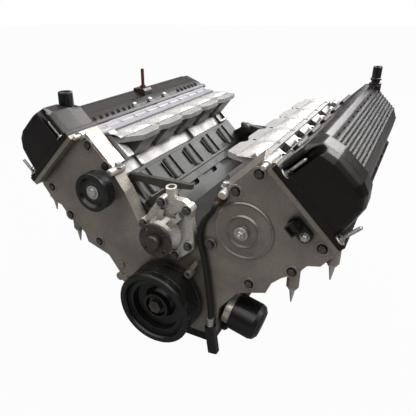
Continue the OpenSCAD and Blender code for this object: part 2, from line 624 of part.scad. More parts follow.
module cam_cover(side) {
    section = side > 0 ? cover_inner : cover_inner_left;
    color([0.1, 0.1, 0.11]) on_bank(side) difference() {
        union() {
            translate([0, 0, cover_h0]) linear_extrude(cover_rail_t) polygon([[-rail_inner_w, dome_front],
                [rail_outer_w, dome_front], [rail_outer_w, cover_rear], [-rail_inner_w, cover_rear]]);
            along_y(dome_front + dome_len - 2, cover_rear - 2) polygon(raised(section));
            dome_form();
            mirror_in() cover_pad(side);
            for (i = [0 : crest_ribs - 1]) along_y(dome_front + dome_len + 4, cover_rear - 8)
                translate([-40 + 58 * i / max(1, crest_ribs - 1), cover_h0 + cover_crest_h - 1])
                    polygon([[-2.4, 0], [-1.6, 3.6], [1.6, 3.6], [2.4, 0]]);
        }
        cover_cavity();
        for (k = bores) well_scallop(side, k);
        for (w = cover_stud_w) translate([w, dome_front + 5, cover_h0 + cover_rail_t]) cylinder(r = 8, h = 90);
        for (w = cover_stud_w) translate([w, dome_front + 5, cover_h0 - 1]) cylinder(r = 3.1, h = 12);
        for (y = cover_bolt_y) translate([cover_bolt_w, y, cover_h0 - 1]) cylinder(r = 3.1, h = 12);
        if (side < 0) mirror_in() translate([-cap_x, cap_y, pad_top_z]) {
            translate([0, 0, -46]) cylinder(r = cap_bore_r, h = 60);
            cylinder(r = cap_seat_r, h = 30);
        }
        else mirror_in() translate([breather_x, breather_y, breather_top_z - 12]) cylinder(r = 11.1, h = 30);
    }
}
// Back from a bank's frame to the engine's
module mirror_in() {
    rotate([0, -bank_tilt, 0]) children();
}
module cover_pad(side) {
    if (side < 0) translate([-cap_x, cap_y, pad_top_z - 34]) cylinder(r = 20, h = 34);
    else translate([breather_x, breather_y, breather_top_z - 34]) cylinder(r = 14, h = 34);
}
cover_stud_w = [20 - rail_inner_w, rail_outer_w - 14];
cover_bolt_w = rail_outer_w - 8;
cover_bolt_y = [for (i = [0 : 5]) block_front + 36 + i * (block_len - 62) / 5];
cap_bore_r = 13;
cap_seat_r = 23.8;
module cover_gasket(side) {
    color([0.25, 0.24, 0.22]) on_bank(side) translate([0, 0, rail_h]) linear_extrude(gasket_t) difference() {
        polygon([[-rail_inner_w, dome_front], [rail_outer_w, dome_front], [rail_outer_w, cover_rear],
            [-rail_inner_w, cover_rear]]);
        polygon([[-60, case_front + 3], [62, case_front + 3], [62, head_rear - 13], [-33, head_rear - 13],
            [-33, case_rear + 3], [-60, case_rear + 3]]);
        for (k = bores) translate([plug_w, plug_y(side, k)]) circle(r = plug_well_r + 8);
        for (w = cover_stud_w) translate([w, dome_front + 5]) circle(r = 3.1);
        for (y = cover_bolt_y) translate([cover_bolt_w, y]) circle(r = 3.1);
    }
}

// Timing case, front of the engine
lower_half_w = 112;
rail_flange_t = 9;
case_lip = 1.5;
front_edge = [[rail_outer_w + case_lip, rail_h], [93, rail_h - 12], [96, rail_h - 34], [99, rail_h - 54], [88, rail_h - 72],
    [91, rail_h - 97], [85, deck_h - 7], [85, deck_h - 32], [95, deck_h - 52], [83, deck_h - 76], [70, deck_h - 103]];
inner_edge = [[-52, deck_h - 111], [-63, deck_h - 77], [-79, deck_h - 30], [-89, deck_h + 31], [-90, rail_h - 20],
    [-rail_inner_w - case_lip, rail_h]];
function to_world(pts) = [for (p = pts) bank_pt(p.x, p.y)];
valley_notch = [[44, 122], [20, 117]];
case_side = concat([[lower_half_w - 8, skirt_z], [lower_half_w, 0]], to_world(reversed(front_edge)),
    to_world(reversed(inner_edge)), valley_notch);
case_wall_side = concat([[lower_half_w - 8 - timing_wall, skirt_z - 1], [lower_half_w - timing_wall, 0]],
    to_world([[64, deck_h - 103], [77, deck_h - 78], [79, deck_h - 30], [79, deck_h], [84, rail_h - 97],
    [82, rail_h - 72], [88, rail_h - 54], [78, rail_h + 1], [-70, rail_h + 1], [-82, deck_h + 30], [-73, deck_h - 30],
    [-57, deck_h - 77], [-47, deck_h - 111]]), [[43, 112], [28, 107]]);
front_bolts = [[-80, rail_h - 34], [75, rail_h - 31], [66, deck_h - 68], [-81, deck_h + 32], [84, deck_h + 18]];
seal_r = 34;
hub_r = 24;
ring_w = -18.7;
ring_h = deck_h - 4.7;
module turned(x, z) {
    translate([x, 0, z]) rotate([-90, 0, 0]) rotate_extrude() children();
}
module front_boss_ring() {
    p = bank_pt(ring_w, ring_h);
    turned(p.x, p.y) polygon([[0, case_front + 1], [boss_ring_r, case_front + 1], [boss_ring_r, case_front - 2],
        [boss_ring_r - 2, case_front - 4], [boss_ring_r - 5, case_front - 2], [32, case_front - 5],
        [29, case_front - 8], [26, case_front - 4.5], [12, case_front - 6], [10, case_front - 14],
        [6, case_front - 15], [0, case_front - 15]]);
}
module inner_corner(side) {
    side_of(side) on_bank(1) translate([0, 0, rail_h - 100]) linear_extrude(88) polygon([[-66, case_front + 6],
        [-88, case_front], [-94, case_front + 2], [-104, case_rear], [-78, case_rear]]);
}
module timing_cover() {
    color([0.55, 0.53, 0.5]) difference() {
        union() {
            along_y(case_front, case_rear) polygon(both_sides(case_side));
            for (side = SIDES) on_bank(side) translate([0, 0, rail_h - rail_flange_t]) linear_extrude(rail_flange_t)
                polygon([[-rail_inner_w, dome_front + 1], [rail_outer_w, dome_front + 1], [rail_outer_w, case_rear],
                    [-rail_inner_w, case_rear]]);
            front_boss_ring();
            for (side = SIDES) inner_corner(side);
            turned(0, 0) polygon([[hub_r + 4, case_front + 2], [seal_r + 16, case_front + 2], [seal_r + 12, case_front - 3],
                [hub_r + 4, case_front - 4]]);
            for (side = SIDES, b = front_bolts) bolt_boss(side, b);
            rod_y(-idler_x, idler_z, 15, idler_rear + 3, case_front + 2);
            for (side = SIDES, p = foot_bosses) foot_boss(side, p);
            rod_y(stay_boss.x, stay_boss.y, 8, case_front - 22, case_front + 2);
            along_y(case_front - 12, case_front + 1) polygon([[50, 78], [58, 69], [72, 96], [66, 100]]);
            rod_y(side_bolt.x, side_bolt.y, 11, case_front - 5, case_front + 2);
            for (p = [[-117, 34], [-121, 3], [-108, 2]]) rod_y(p.x, p.y, 9, case_front - 3, case_rear);
        }
        difference() {
            along_y(case_front + timing_wall, case_rear + 1) polygon(both_sides(case_wall_side));
            for (side = SIDES, b = front_bolts) {
                p = bank_pt(b.x, b.y, side);
                rod_y(p.x, p.y, 7, case_front, case_rear + 2);
            }
        }
        for (side = SIDES) on_bank(side) box(-60, 62, case_front + timing_wall, case_rear + 1, rail_h - 30, rail_h + 1);
        rod_y(0, 0, seal_r, case_front - 5, case_front + timing_wall + 1);
        rod_y(-idler_x, idler_z, 5, idler_rear, case_front - 1);
        rod_y(stay_boss.x, stay_boss.y, 3, case_front - 24, case_front - 10);
        rod_y(side_bolt.x, side_bolt.y, 4.1, case_front - 6, case_front + 3.2);
        translate([sensor_x, case_front - 3, sensor_z]) rotate([90, 0, 0]) translate([0, 0, -8.2]) cylinder(r = 6.2, h = 10);
        for (p = pump_bolts_at) rod_y(p.x, p.y, 4.1, case_front - 1, case_front + 3.2);
        for (side = SIDES, p = foot_bosses) translate([side * p.x, case_front + 20, p.y - 1]) cylinder(r = 5, h = 16);
        on_bank(1) rod_y(43, rail_h - 39, 3.1, case_front - 1, case_front + 4.2);
        for (side = SIDES) cover_stud_holes(side, rail_h - 14, 16);
        for (side = SIDES, b = front_bolts) {
            p = bank_pt(b.x, b.y, side);
            rod_y(p.x, p.y, 4.5, case_front - 4, case_rear + 3);
            rod_y(p.x, p.y, 8.8, case_front - 4, case_front + 3);
        }
    }
}
// Foot of a pointed stud in the cover's outer edge, x and z on the right side
foot_bosses = [whole(bank_pt(rail_outer_w + 24, rail_h - 41.2)), whole(bank_pt(rail_outer_w + 28.2, deck_h - 10.1))];
function whole(p) = [floor(p.x), floor(p.y)];
side_bolt = [94, 141];
stay_boss = [56, 73];
module foot_boss(side, p) {
    translate([side * p.x, case_front + 20, p.y]) cylinder(r = 11, h = 42);
}
module cover_stud_holes(side, h, len) {
    on_bank(side) for (w = cover_stud_w) translate([w, dome_front + 5, h]) cylinder(r = 3.1, h = len);
}
module bolt_boss(side, b) {
    p = bank_pt(b.x, b.y, side);
    rod_y(p.x, p.y, 13, case_front - 1, case_rear);
}
module front_seal() {
    color([0.12, 0.12, 0.12]) turned(0, 0) polygon([[hub_r + 0.3, case_front - 1], [seal_r - 0.05, case_front - 3],
        [seal_r - 0.05, case_front + 6], [hub_r + 4, case_front + 6], [hub_r + 0.3, case_front + 3]]);
}
module timing_cover_bolts() {
    for (side = SIDES, b = front_bolts) {
        p = bank_pt(b.x, b.y, side);
        translate([p.x, case_front + 3, p.y]) rotate([90, 0, 0]) bolt(8, 24);
    }
}

// Chain drive
plane_rear = case_rear - 3 - chain_w / 2;
plane_front = case_front + timing_wall + 2 + chain_w / 2;
function chain_plane(side) = side > 0 ? plane_front : plane_rear;
cam_teeth = 36;
tooth_h = 3.5;
link_pitch = 8;
chain_gap = 0.5;
function tooth_ring(r, teeth) = [for (i = [0 : teeth - 1], j = [0 : 3])
    let (a = (i + [0, 0.25, 0.5, 0.75][j]) * 360 / teeth, q = j == 1 || j == 2 ? r : r - tooth_h) q * [cos(a), sin(a)]];
function belt(r1, r2, wave) =
    let (phi = asin((r1 - r2) / cam_h), run = sqrt(cam_h * cam_h - pow(r1 - r2, 2)),
         top_n = 2 * round(PI * r1 / link_pitch), low_n = 2 * round(PI * r2 * 0.8 / link_pitch),
         run_n = 2 * round(run / link_pitch), u = [cos(phi), -sin(phi)], v = [-cos(phi), -sin(phi)])
    concat([for (i = [0 : top_n]) let (a = -phi + (180 + 2 * phi) * i / top_n, q = r1 + wave * (i % 2))
            [q * cos(a), cam_h + q * sin(a)]],
        [for (i = [1 : run_n - 1]) let (t = i / run_n)
            ([0, cam_h] + v * (r1 + wave * (i % 2))) * (1 - t) + v * (r2 + wave * (i % 2)) * t],
        [for (i = [0 : low_n]) let (a = 180 + phi + (180 - 2 * phi) * i / low_n, q = r2 + wave * (i % 2))
            [q * cos(a), q * sin(a)]],
        [for (i = [1 : run_n - 1]) let (t = i / run_n)
            u * (r2 + wave * (i % 2)) * (1 - t) + ([0, cam_h] + u * (r1 + wave * (i % 2))) * t]);
module sprocket(r, teeth, y) {
    along_y(y - 3, y + 3) polygon(tooth_ring(r, teeth));
}
module timing_chain(side) {
    r1 = cam_sprocket_r + chain_gap;
    color([0.42, 0.4, 0.36]) on_bank(side) along_y(chain_plane(side) - chain_w / 2, chain_plane(side) + chain_w / 2)
        difference() {
            polygon(belt(r1 + chain_t - 1, r1 / 2 + chain_t - 0.75, 1));
            polygon(belt(r1 + 0.6, r1 / 2 + 0.85, -0.6));
        }
}
module cam_sprocket(side) {
    y = chain_plane(side);
    color([0.46, 0.45, 0.42]) on_bank(side) difference() {
        union() {
            translate([0, 0, cam_h]) sprocket(cam_sprocket_r, cam_teeth, y);
            rod_y(0, cam_h, 20, y - 5, cam_front - 0.02);
        }
        for (a = [0 : 60 : 300]) rod_y(34 * cos(a), cam_h + 34 * sin(a), 10, y - 8, y + 8);
        rod_y(0, cam_h, 5, y - 8, cam_front);
    }
}
guide_t = 7;
module chain_guides() {
    r1 = cam_sprocket_r + chain_gap + chain_t + 0.8;
    r2 = (cam_sprocket_r + chain_gap) / 2 + chain_t + 0.8;
    phi = asin((r1 - r2) / cam_h);
    color([0.75, 0.7, 0.5]) for (side = SIDES, s = [-1, 1]) on_bank(side)
        along_y(chain_plane(side) - chain_w / 2 + 0.5, chain_plane(side) + chain_w / 2 - 0.5) {
            u = [s * cos(phi), -sin(phi)];
            t0 = s < 0 ? 0.52 : 0.3;
            polygon([run_point(r1, r2, u, t0, 0), run_point(r1, r2, u, 0.8, 0), run_point(r1, r2, u, 0.78, 5),
                run_point(r1, r2, u, (t0 + 0.8) / 2, guide_t), run_point(r1, r2, u, t0 + 0.03, 5)]);
        }
}
function run_point(r1, r2, u, t, off) = u * (r2 + off) * (1 - t) + ([0, cam_h] + u * (r1 + off)) * t;

// Damper and crank nose
idler_x = 141;
idler_z = 210.5;
rubber_r = damper_r - 18;
nose_front = damper_front + 22;
module crank_nose() {
    color([0.5, 0.5, 0.52]) difference() {
        rod_y(0, 0, nose_r, nose_front, main_y(0) - journal_half - clear);
        rod_y(0, 0, 7, nose_front - 1, nose_front + 50);
    }
}
module crank_sprockets() {
    color([0.46, 0.45, 0.42]) for (side = SIDES) difference() {
        sprocket(cam_sprocket_r / 2, cam_teeth / 2, chain_plane(side));
        rod_y(0, 0, nose_r + 0.02, chain_plane(side) - 4, chain_plane(side) + 4);
    }
}
module damper_hub() {
    color([0.07, 0.07, 0.07]) turned(0, 0) polygon([[nose_r + 0.02, nose_front + 2], [nose_r + 0.02, case_front + 5],
        [hub_r, case_front + 5], [hub_r, damper_front + 40], [rubber_r - 6, damper_front + 38],
        [rubber_r - 6, damper_rear - 6], [rubber_r - 0.1, damper_rear - 6], [rubber_r - 0.1, damper_front + 10],
        [rubber_r - 8, damper_front + 10], [rubber_r - 10, damper_front + 26], [34, damper_front + 30],
        [27, damper_front + 24], [27, damper_front + 12], [22, damper_front + 12], [22, nose_front + 2]]);
}
module damper_rubber() {
    color([0.03, 0.03, 0.03]) turned(0, 0) polygon([[rubber_r, damper_front + 9], [rubber_r + 3.5, damper_front + 9],
        [rubber_r + 3.5, damper_rear - 5], [rubber_r, damper_rear - 5]]);
}
grooves = 6;
groove_pitch = 3.56;
band_w = grooves * groove_pitch;
band_y = damper_front + 22;
module damper_pulley() {
    color([0.06, 0.06, 0.06]) turned(0, 0) polygon(concat(
        [[rubber_r + 3.6, damper_front + 4], [rubber_r + 6, damper_front], [damper_r - 3, damper_front],
            [damper_r, damper_front + 3], [damper_r, damper_front + 15], [damper_r - 4, damper_front + 18],
            [damper_r - 4, band_y - 1]],
        groove_teeth(damper_r - 0.5, band_y, grooves), [[damper_r - 4, band_y + band_w + 1],
            [damper_r - 4, damper_rear - 6], [damper_r, damper_rear - 4], [damper_r, damper_rear],
            [rubber_r + 3.6, damper_rear]]));
}
function groove_teeth(r, y, n) = [for (i = [0 : n - 1]) each [[r - 3, y + i * groove_pitch],
    [r, y + i * groove_pitch + 1.2], [r, y + i * groove_pitch + 2.2], [r - 3, y + (i + 1) * groove_pitch - 0.1]]];
module damper_bolt() {
    color([0.6, 0.58, 0.54]) translate([0, nose_front, 0]) rotate([90, 0, 0]) {
        translate([0, 0, -40]) cylinder(r = 6.9, h = 41);
        cylinder(r = 19, h = 4);
        translate([0, 0, 3]) hex_prism(24, 11);
    }
}
module crank_flange() {
    color([0.5, 0.5, 0.52]) difference() {
        union() {
            rod_y(0, 0, main_r - 0.2, main_y(cylinders_per_bank) + journal_half + clear, block_rear + 1);
            rod_y(0, 0, crank_flange_r, block_rear + 0.4, 0);
        }
        rod_y(0, 0, pilot_r, -22, 1);
        for (a = [0 : 45 : 315]) rod_y(flywheel_bolt_circle_r * cos(a), flywheel_bolt_circle_r * sin(a), 5,
            block_rear - 1, 1);
    }
}

// Idler
idler_rear = case_front - 18;
idler_front = idler_rear - idler_w;
module idler_pulley() {
    color([0.05, 0.05, 0.05]) turned(-idler_x, idler_z) polygon(concat([[20.1, idler_front + 7], [26, idler_front + 6],
        [31, idler_front], [idler_r - 1, idler_front], [idler_r, idler_front + 1], [idler_r, idler_front + 2]],
        groove_teeth(idler_r, idler_front + 2.4, grooves), [[idler_r, idler_rear - 1.6], [idler_r - 1, idler_rear],
        [31, idler_rear], [26, idler_rear - 6], [20.1, idler_rear - 7]]));
}
module idler_bearing() {
    color([0.6, 0.6, 0.6]) turned(-idler_x, idler_z) polygon([[8.4, idler_front + 7], [20, idler_front + 7],
        [20, idler_rear - 7], [8.4, idler_rear - 7]]);
}
module idler_bolt() {
    color([0.75, 0.74, 0.72]) turned(-idler_x, idler_z) polygon([[0, idler_front + 1], [7, idler_front + 1],
        [9, idler_front + 2.4], [9, idler_front + 4], [14, idler_front + 4.4], [14, idler_front + 6.4],
        [8, idler_front + 6.6], [8, idler_rear + 2.7], [4.9, idler_rear + 2.7], [4.9, case_front - 2], [0, case_front - 2]]);
}

// Coolant pump
pump_front = case_front - 32;
pump_flange_y = case_front - 45;
pump_bolts_at = [[-40, 159], [2, 212], [54, 206], [56, 134], [28, 108], [-30, 118]];
module pump_housing() {
    color([0.62, 0.61, 0.58]) difference() {
        union() {
            along_y(case_front - 16, case_front - 0.1) polygon(rounded([[-42, 118], [-45, 160], [-12, 208], [8, 221],
                [44, 221], [64, 208], [60, 188], [65, 160], [66, 128], [40, 104], [-24, 106]], 7));
            hull() {
                rod_y(0, pump_z, 24, pump_front, pump_front + 4);
                rod_y(5, pump_z + 5, 36, case_front - 18, case_front - 14);
            }
            along_y(case_front - 26, case_front - 15) polygon([[18, 160], [46, 189], [38, 199], [6, 166]]);
            along_y(case_front - 24, case_front - 15) polygon([[-16, 160], [0, 200], [8, 198], [0, 158]]);
            for (p = pump_bolts_at) rod_y(p.x, p.y, 10, case_front - 20, case_front - 0.1);
            translate([20, case_front - 9, 210]) rotate([8, 0, 0]) cylinder(r = 10, h = 34);
        }
        rod_y(0, pump_z, 12, pump_front - 1, case_front - 12);
        rod_y(0, pump_z, 33, case_front - 13, case_front + 1);
        translate([20, case_front - 9, 218]) rotate([8, 0, 0]) cylinder(r = 7, h = 34);
        rod_y(31, 190, 4, case_front - 30, case_front - 8);
        for (p = pump_bolts_at) rod_y(p.x, p.y, 4.3, case_front - 22, case_front + 1);
    }
}
module pump_bolts() {
    for (p = pump_bolts_at)
        translate([p.x, case_front - 20, p.y]) rotate([90, 0, 0]) bolt(8, 23);
}
module side_bolt_at() {
    translate([side_bolt.x, case_front - 5, side_bolt.y]) rotate([90, 0, 0]) bolt(8, 8);
}
module pump_bearing() {
    color([0.6, 0.6, 0.62]) ring_y(0, pump_z, 12, 8.05, pump_front + 1, case_front - 14);
}
module pump_hub() {
    color([0.36, 0.33, 0.3]) difference() {
        turned(0, pump_z) polygon([[0, case_front - 57.6], [pump_nose_r - 1, case_front - 57.6],
            [pump_nose_r, case_front - 56.6], [pump_nose_r, pump_flange_y], [pump_flange_r, pump_flange_y],
            [pump_flange_r, pump_flange_y + 5], [16, pump_flange_y + 5], [14, pump_front - 0.8], [8, pump_front - 0.8],
            [8, case_front - 9], [0, case_front - 9]]);
        for (a = [45 : 90 : 315]) rod_y(pump_bolt_circle_r * cos(a), pump_z + pump_bolt_circle_r * sin(a), 3.4,
            pump_flange_y - 1, pump_flange_y + 6);
    }
}
module pump_impeller() {
    color([0.4, 0.4, 0.42]) {
        ring_y(0, pump_z, 30, 8, case_front - 4, case_front - 2);
        ring_y(0, pump_z, 12, 8.02, case_front - 11, case_front - 4 + eps);
        for (a = [0 : 60 : 300]) translate([0, 0, pump_z]) rotate([0, a, 0])
            box(11.5, 30, case_front - 10.5, case_front - 3.9, -1.2, 1.2);
    }
}

// Sensors and lead
module cam_sensor() {
    p = bank_pt(23, rail_h - 39);
    color([0.05, 0.05, 0.05]) translate([p.x, 0, p.y]) rotate([0, bank_tilt, 0]) difference() {
        union() {
            rod_y(0, 0, 10, case_front - 15, case_front - 0.1);
            along_y(case_front - 6, case_front - 0.1) polygon(rounded([[-16, -11], [-16, 12], [30, 12], [30, -11]], 8));
            box(-14, 6, case_front - 26, case_front - 14, -8, 8);
        }
        rod_y(20, 0, 3.4, case_front - 8, case_front + 1);
        box(-12, 4, case_front - 27, case_front - 20, -6, 6);
    }
}
module cam_sensor_bolt() {
    p = bank_pt(23, rail_h - 39);
    translate([p.x, 0, p.y]) rotate([0, bank_tilt, 0])
        translate([20, case_front - 6, 0]) rotate([90, 0, 0]) bolt(6, 10);
}
sensor_x = 112;
sensor_z = 232;
module coolant_sensor() {
    color([0.75, 0.72, 0.62]) translate([sensor_x, case_front - 3, sensor_z]) rotate([90, 0, 0]) {
        translate([0, 0, -8]) cylinder(r = 6, h = 10);
        hex_prism(17, 7);
        translate([0, 0, 6]) cylinder(r = 6.5, h = 8);
    }
}
lead_r = 5;
lead_low = [99, case_front - 9.5, -20];
lead_points = [[sensor_x, case_front - 17.6, sensor_z], [sensor_x - 0.3, case_front - 23, sensor_z - 0.6],
    [108.5, case_front - 25, 225], [102, case_front - 16, 214], [92, case_front - 7, 202], [80, case_front - 7, 184],
    [74, case_front - 7, 160], [75, case_front - 7, 138], [84, case_front - 7, 100], [92, case_front - 8, 50],
    [97, case_front - 9, 10], lead_low];
lead_sides = 12;
lead_steps = 6;
clip_len = 18.2;
function spline(p, i, t) =
    let (n = len(p), a = p[max(i - 1, 0)], b = p[i], c = p[min(i + 1, n - 1)], d = p[min(i + 2, n - 1)])
    0.5 * (2 * b + (c - a) * t + (2 * a - 5 * b + 4 * c - d) * t * t + (3 * b - a - 3 * c + d) * t * t * t);
lead_path = concat([for (i = [0 : len(lead_points) - 2], j = [0 : lead_steps - 1])
    spline(lead_points, i, j / lead_steps)], [lead_low]);
module tube_along(path, r) {
    n = len(path);
    rings = [for (i = [0 : n - 1]) let (d = unit(path[min(i + 1, n - 1)] - path[max(i - 1, 0)]),
        u = unit(cross(d, [0, -1, 0])), v = cross(d, u), flat = 1)
        each [for (k = [0 : lead_sides - 1]) let (a = 360 * k / lead_sides) path[i] + r * (u * cos(a) + v * sin(a))]];
    polyhedron(rings, concat([[for (k = [0 : lead_sides - 1]) k]],
        [for (i = [0 : n - 2], k = [0 : lead_sides - 1]) let (m = (k + 1) % lead_sides)
            [i * lead_sides + k, (i + 1) * lead_sides + k, (i + 1) * lead_sides + m, i * lead_sides + m]],
        [[for (k = [lead_sides - 1 : -1 : 0]) (n - 1) * lead_sides + k]]));
}
module sensor_lead() {
    color([0.04, 0.04, 0.04]) tube_along(lead_path, lead_r);
}
module lead_clip() {
    color([0.62, 0.61, 0.58]) {
        translate(lead_low + [0, 0, -clip_len]) difference() {
            cylinder(r = lead_r + 2, h = clip_len - 0.4);
            for (z = [3, 7, 11]) translate([0, 0, z]) difference() {
                cylinder(r = lead_r + 4, h = 2);
                cylinder(r = lead_r + 1, h = 2);
            }
        }
    }
}
module lead_connector() {
    color([0.04, 0.04, 0.04]) {
        translate(lead_low + [0, 0, -20]) rotate([0, -8, 0]) difference() {
            translate([0, 0, -62]) linear_extrude(61.5) polygon(rounded([[-10, -8], [10, -8], [10, 8], [-10, 8]], 3));
            translate([-7, -5, -63]) cube([14, 10, 16]);
        }
        translate(lead_low + [0, 0, -clip_len - 8]) cylinder(r = lead_r + 1, h = 8);
    }
}

// Oil system
pan_top = skirt_z - 1;
filter_y = case_front + 42;
filter_z = -24;
filter_tilt = 14;
adapter_x = skirt_half_w + 18;
module filter_adapter() {
    color([0.7, 0.69, 0.66]) difference() {
        union() {
            along_y(block_front + 1, filter_y + 36) polygon(rounded([[skirt_half_w - 2, 26], [adapter_x + 4, 20],
                [adapter_x + 4, -24], [adapter_x - 1, -50], [skirt_half_w - 2, -50]], 3));
            translate([adapter_x, filter_y, filter_z]) rotate([0, 90 + filter_tilt, 0]) translate([0, 0, -7])
                cylinder(r = filter_r - 6, h = 13.8);
        }
        along_y(block_front, block_rear) translate([0.2, 0]) polygon(both_sides(block_side));
    }
}
module oil_filter() {
    color([0.06, 0.06, 0.07]) translate([adapter_x, filter_y, filter_z]) rotate([0, 90 + filter_tilt, 0])
        rotate_extrude() polygon([[0, 7], [filter_r - 3, 7], [filter_r, 9], [filter_r, filter_len - 8],
            [filter_r - 3, filter_len], [filter_r - 12, filter_len + 6], [0, filter_len + 6]]);
}
sump_y0 = block_front + block_len * 0.68;
sump_y1 = block_rear - 34;
drain_y = sump_y1 - 60;
drain_recess = 9;
function pan_line(d) = [[case_front + 6 + d, pan_top + 1], [case_front + 8 + d, pan_top - pan_shallow + d],
    [block_front + block_len * 0.3, pan_top - pan_shallow - 4 + d], [sump_y0 - 20 + d, pan_top - sump_depth * 0.55 + d],
    [sump_y0 + d, pan_top - sump_depth + d], [sump_y1 - d, pan_top - sump_depth + d], [block_rear - 10 - d, pan_top + 1]];
module pan_body(d) {
    intersection() {
        rotate([90, 0, 90]) linear_extrude(196 - 2 * d, center = true) polygon(pan_line(d));
        along_y(case_front, block_rear) polygon(both_sides([[98 - d, pan_top + 2], [98 - d, pan_top - pan_shallow],
            [90 - d, pan_top - sump_depth + 14], [78 - d, pan_top - sump_depth - 1 + d]]));
    }
}
pan_bolt_spots = [for (i = [0 : 9]) case_front + 40 + i * (block_rear - 14 - case_front - 40) / 9];
module oil_pan() {
    color([0.12, 0.12, 0.12]) difference() {
        union() {
            translate([0, 0, pan_top - 5]) linear_extrude(5) polygon(both_sides([[100, case_front + 2],
                [100, case_rear], [pan_rail_half_w - 1, block_front + 2], [pan_rail_half_w - 1, block_rear - 1]]));
            difference() {
                pan_body(0);
                box(-150, 150, case_front - 10, 10, pan_top - eps, pan_top + 10);
            }
        }
        difference() {
            pan_body(pan_wall);
            translate([0, drain_y, pan_top - sump_depth]) cylinder(r = 20, h = drain_recess + 4);
        }
        for (x = SIDES, y = pan_bolt_spots) translate([x * 109, y, pan_top - 6]) cylinder(r = 3.6, h = 8);
        translate([0, drain_y, pan_top - sump_depth - 1]) {
            cylinder(r = 16, h = drain_recess + 1);
            cylinder(r = 7, h = drain_recess + 8);
        }
    }
}
module pan_gasket() {
    color([0.3, 0.3, 0.3]) translate([0, 0, pan_top]) linear_extrude(1) difference() {
        polygon(both_sides([[100, case_front + 3], [100, case_rear], [pan_rail_half_w - 1, block_front + 2],
            [pan_rail_half_w - 1, block_rear - 1]]));
        polygon(both_sides([[92, case_front + 12], [92, block_rear - 14]]));
        for (x = SIDES, y = pan_bolt_spots) translate([x * 109, y]) circle(r = 3.6);
    }
}
module pan_bolts() {
    color([0.5, 0.5, 0.5]) for (x = SIDES, y = pan_bolt_spots)
        translate([x * 109, y, pan_top - 5]) mirror([0, 0, 1]) bolt_head(6);
}
module drain_plug() {
    color([0.7, 0.66, 0.5]) translate([0, drain_y, pan_top - sump_depth + drain_recess]) mirror([0, 0, 1]) {
        translate([0, 0, -5]) cylinder(r = 6.95, h = 6);
        cylinder(r = 12, h = 2);
        translate([0, 0, 1]) hex_prism(17, 7);
    }
}
module oil_pickup() {
    color([0.5, 0.5, 0.52]) translate([0, main_y(cylinders_per_bank - 1), -cap_depth]) {
        translate([-20, -9, -4]) cube([40, 18, 4]);
        translate([0, 0, -96]) cylinder(r = 8, h = 94);
        translate([0, 0, -104]) cylinder(r1 = 30, r2 = 10, h = 12);
        translate([0, 0, -112]) cylinder(r = 30, h = 9);
    }
}

// Top fittings
cap_x = -268;
cap_y = dome_front + 78;
breather_x = 268;
// Height of a cover's crest above a distance from the centre plane, in whole millimetres
function crest_z(x) = floor((cover_h0 + cover_crest_h) * sqrt(2) - abs(x));
pad_top_z = crest_z(cap_x);
breather_top_z = crest_z(breather_x) + 7;
breather_y = cover_rear - 20;
module oil_cap() {
    color([0.03, 0.03, 0.03]) translate([cap_x, cap_y, pad_top_z]) difference() {
        rotate_extrude() polygon([[0, -8], [cap_bore_r - 0.05, -8], [cap_bore_r - 0.05, 0.2], [23, 0.2], [23, 3],
            [15.5, 4.5], [15, 33], [13, 35], [0, 35]]);
        for (a = [0 : 30 : 330]) rotate([0, 0, a]) translate([15.6, 0, 8]) cylinder(r = 1.6, h = 20);
    }
}
module breather() {
    color([0.05, 0.05, 0.05]) translate([breather_x, breather_y, 0]) difference() {
        rotate_extrude() polygon([[0, breather_top_z - 8], [11, breather_top_z - 8], [11, breather_top_z + 0.2], [14, breather_top_z + 0.2],
            [14, breather_top_z + 4], [10, breather_top_z + 5], [10, breather_top_z + 10], [12.5, breather_top_z + 11],
            [12.5, breather_top_z + 15], [10.5, breather_top_z + 16], [10.5, breather_top_z + 41], [9, breather_top_z + 43], [0, breather_top_z + 43]]);
        translate([0, 0, breather_top_z + 6]) cylinder(r = 7, h = 60);
    }
}
left_crest = raised(cover_inner_left);
lift_y = case_front + 320;
lift_x = -252;
lift_seat_z = crest_z(lift_x) - 14;
module lift_bracket() {
    color([0.3, 0.29, 0.26]) difference() {
        translate([lift_x - 18, lift_y - 17, lift_seat_z - 32]) cube([34, 34, 32]);
        on_bank(-1) along_y(lift_y - 30, lift_y + 30) polygon(left_crest);
        translate([lift_x, lift_y, lift_seat_z - 44]) cylinder(r = 4.1, h = 50);
        translate([lift_x + 24, lift_y, lift_seat_z + 8]) rotate([0, 45, 0]) cube([30, 60, 30], center = true);
    }
}
module lift_stud() {
    color([0.4, 0.13, 0.08]) translate([lift_x, lift_y, lift_seat_z]) {
        translate([0, 0, -7]) cylinder(r = 4, h = 53);
        hex_prism(13, 6);
    }
}
module valley_bracket() {
    color([0.6, 0.59, 0.55]) along_y(block_front + 12, block_front + 22) difference() {
        polygon([[-valley_x(218), 218], [-112, 227], [30, 227], [30, 217], [-14, 212], [-valley_x(162), 162]]);
        polygon([[-100, 214], [-30, 208], [-74, 174]]);
    }
}
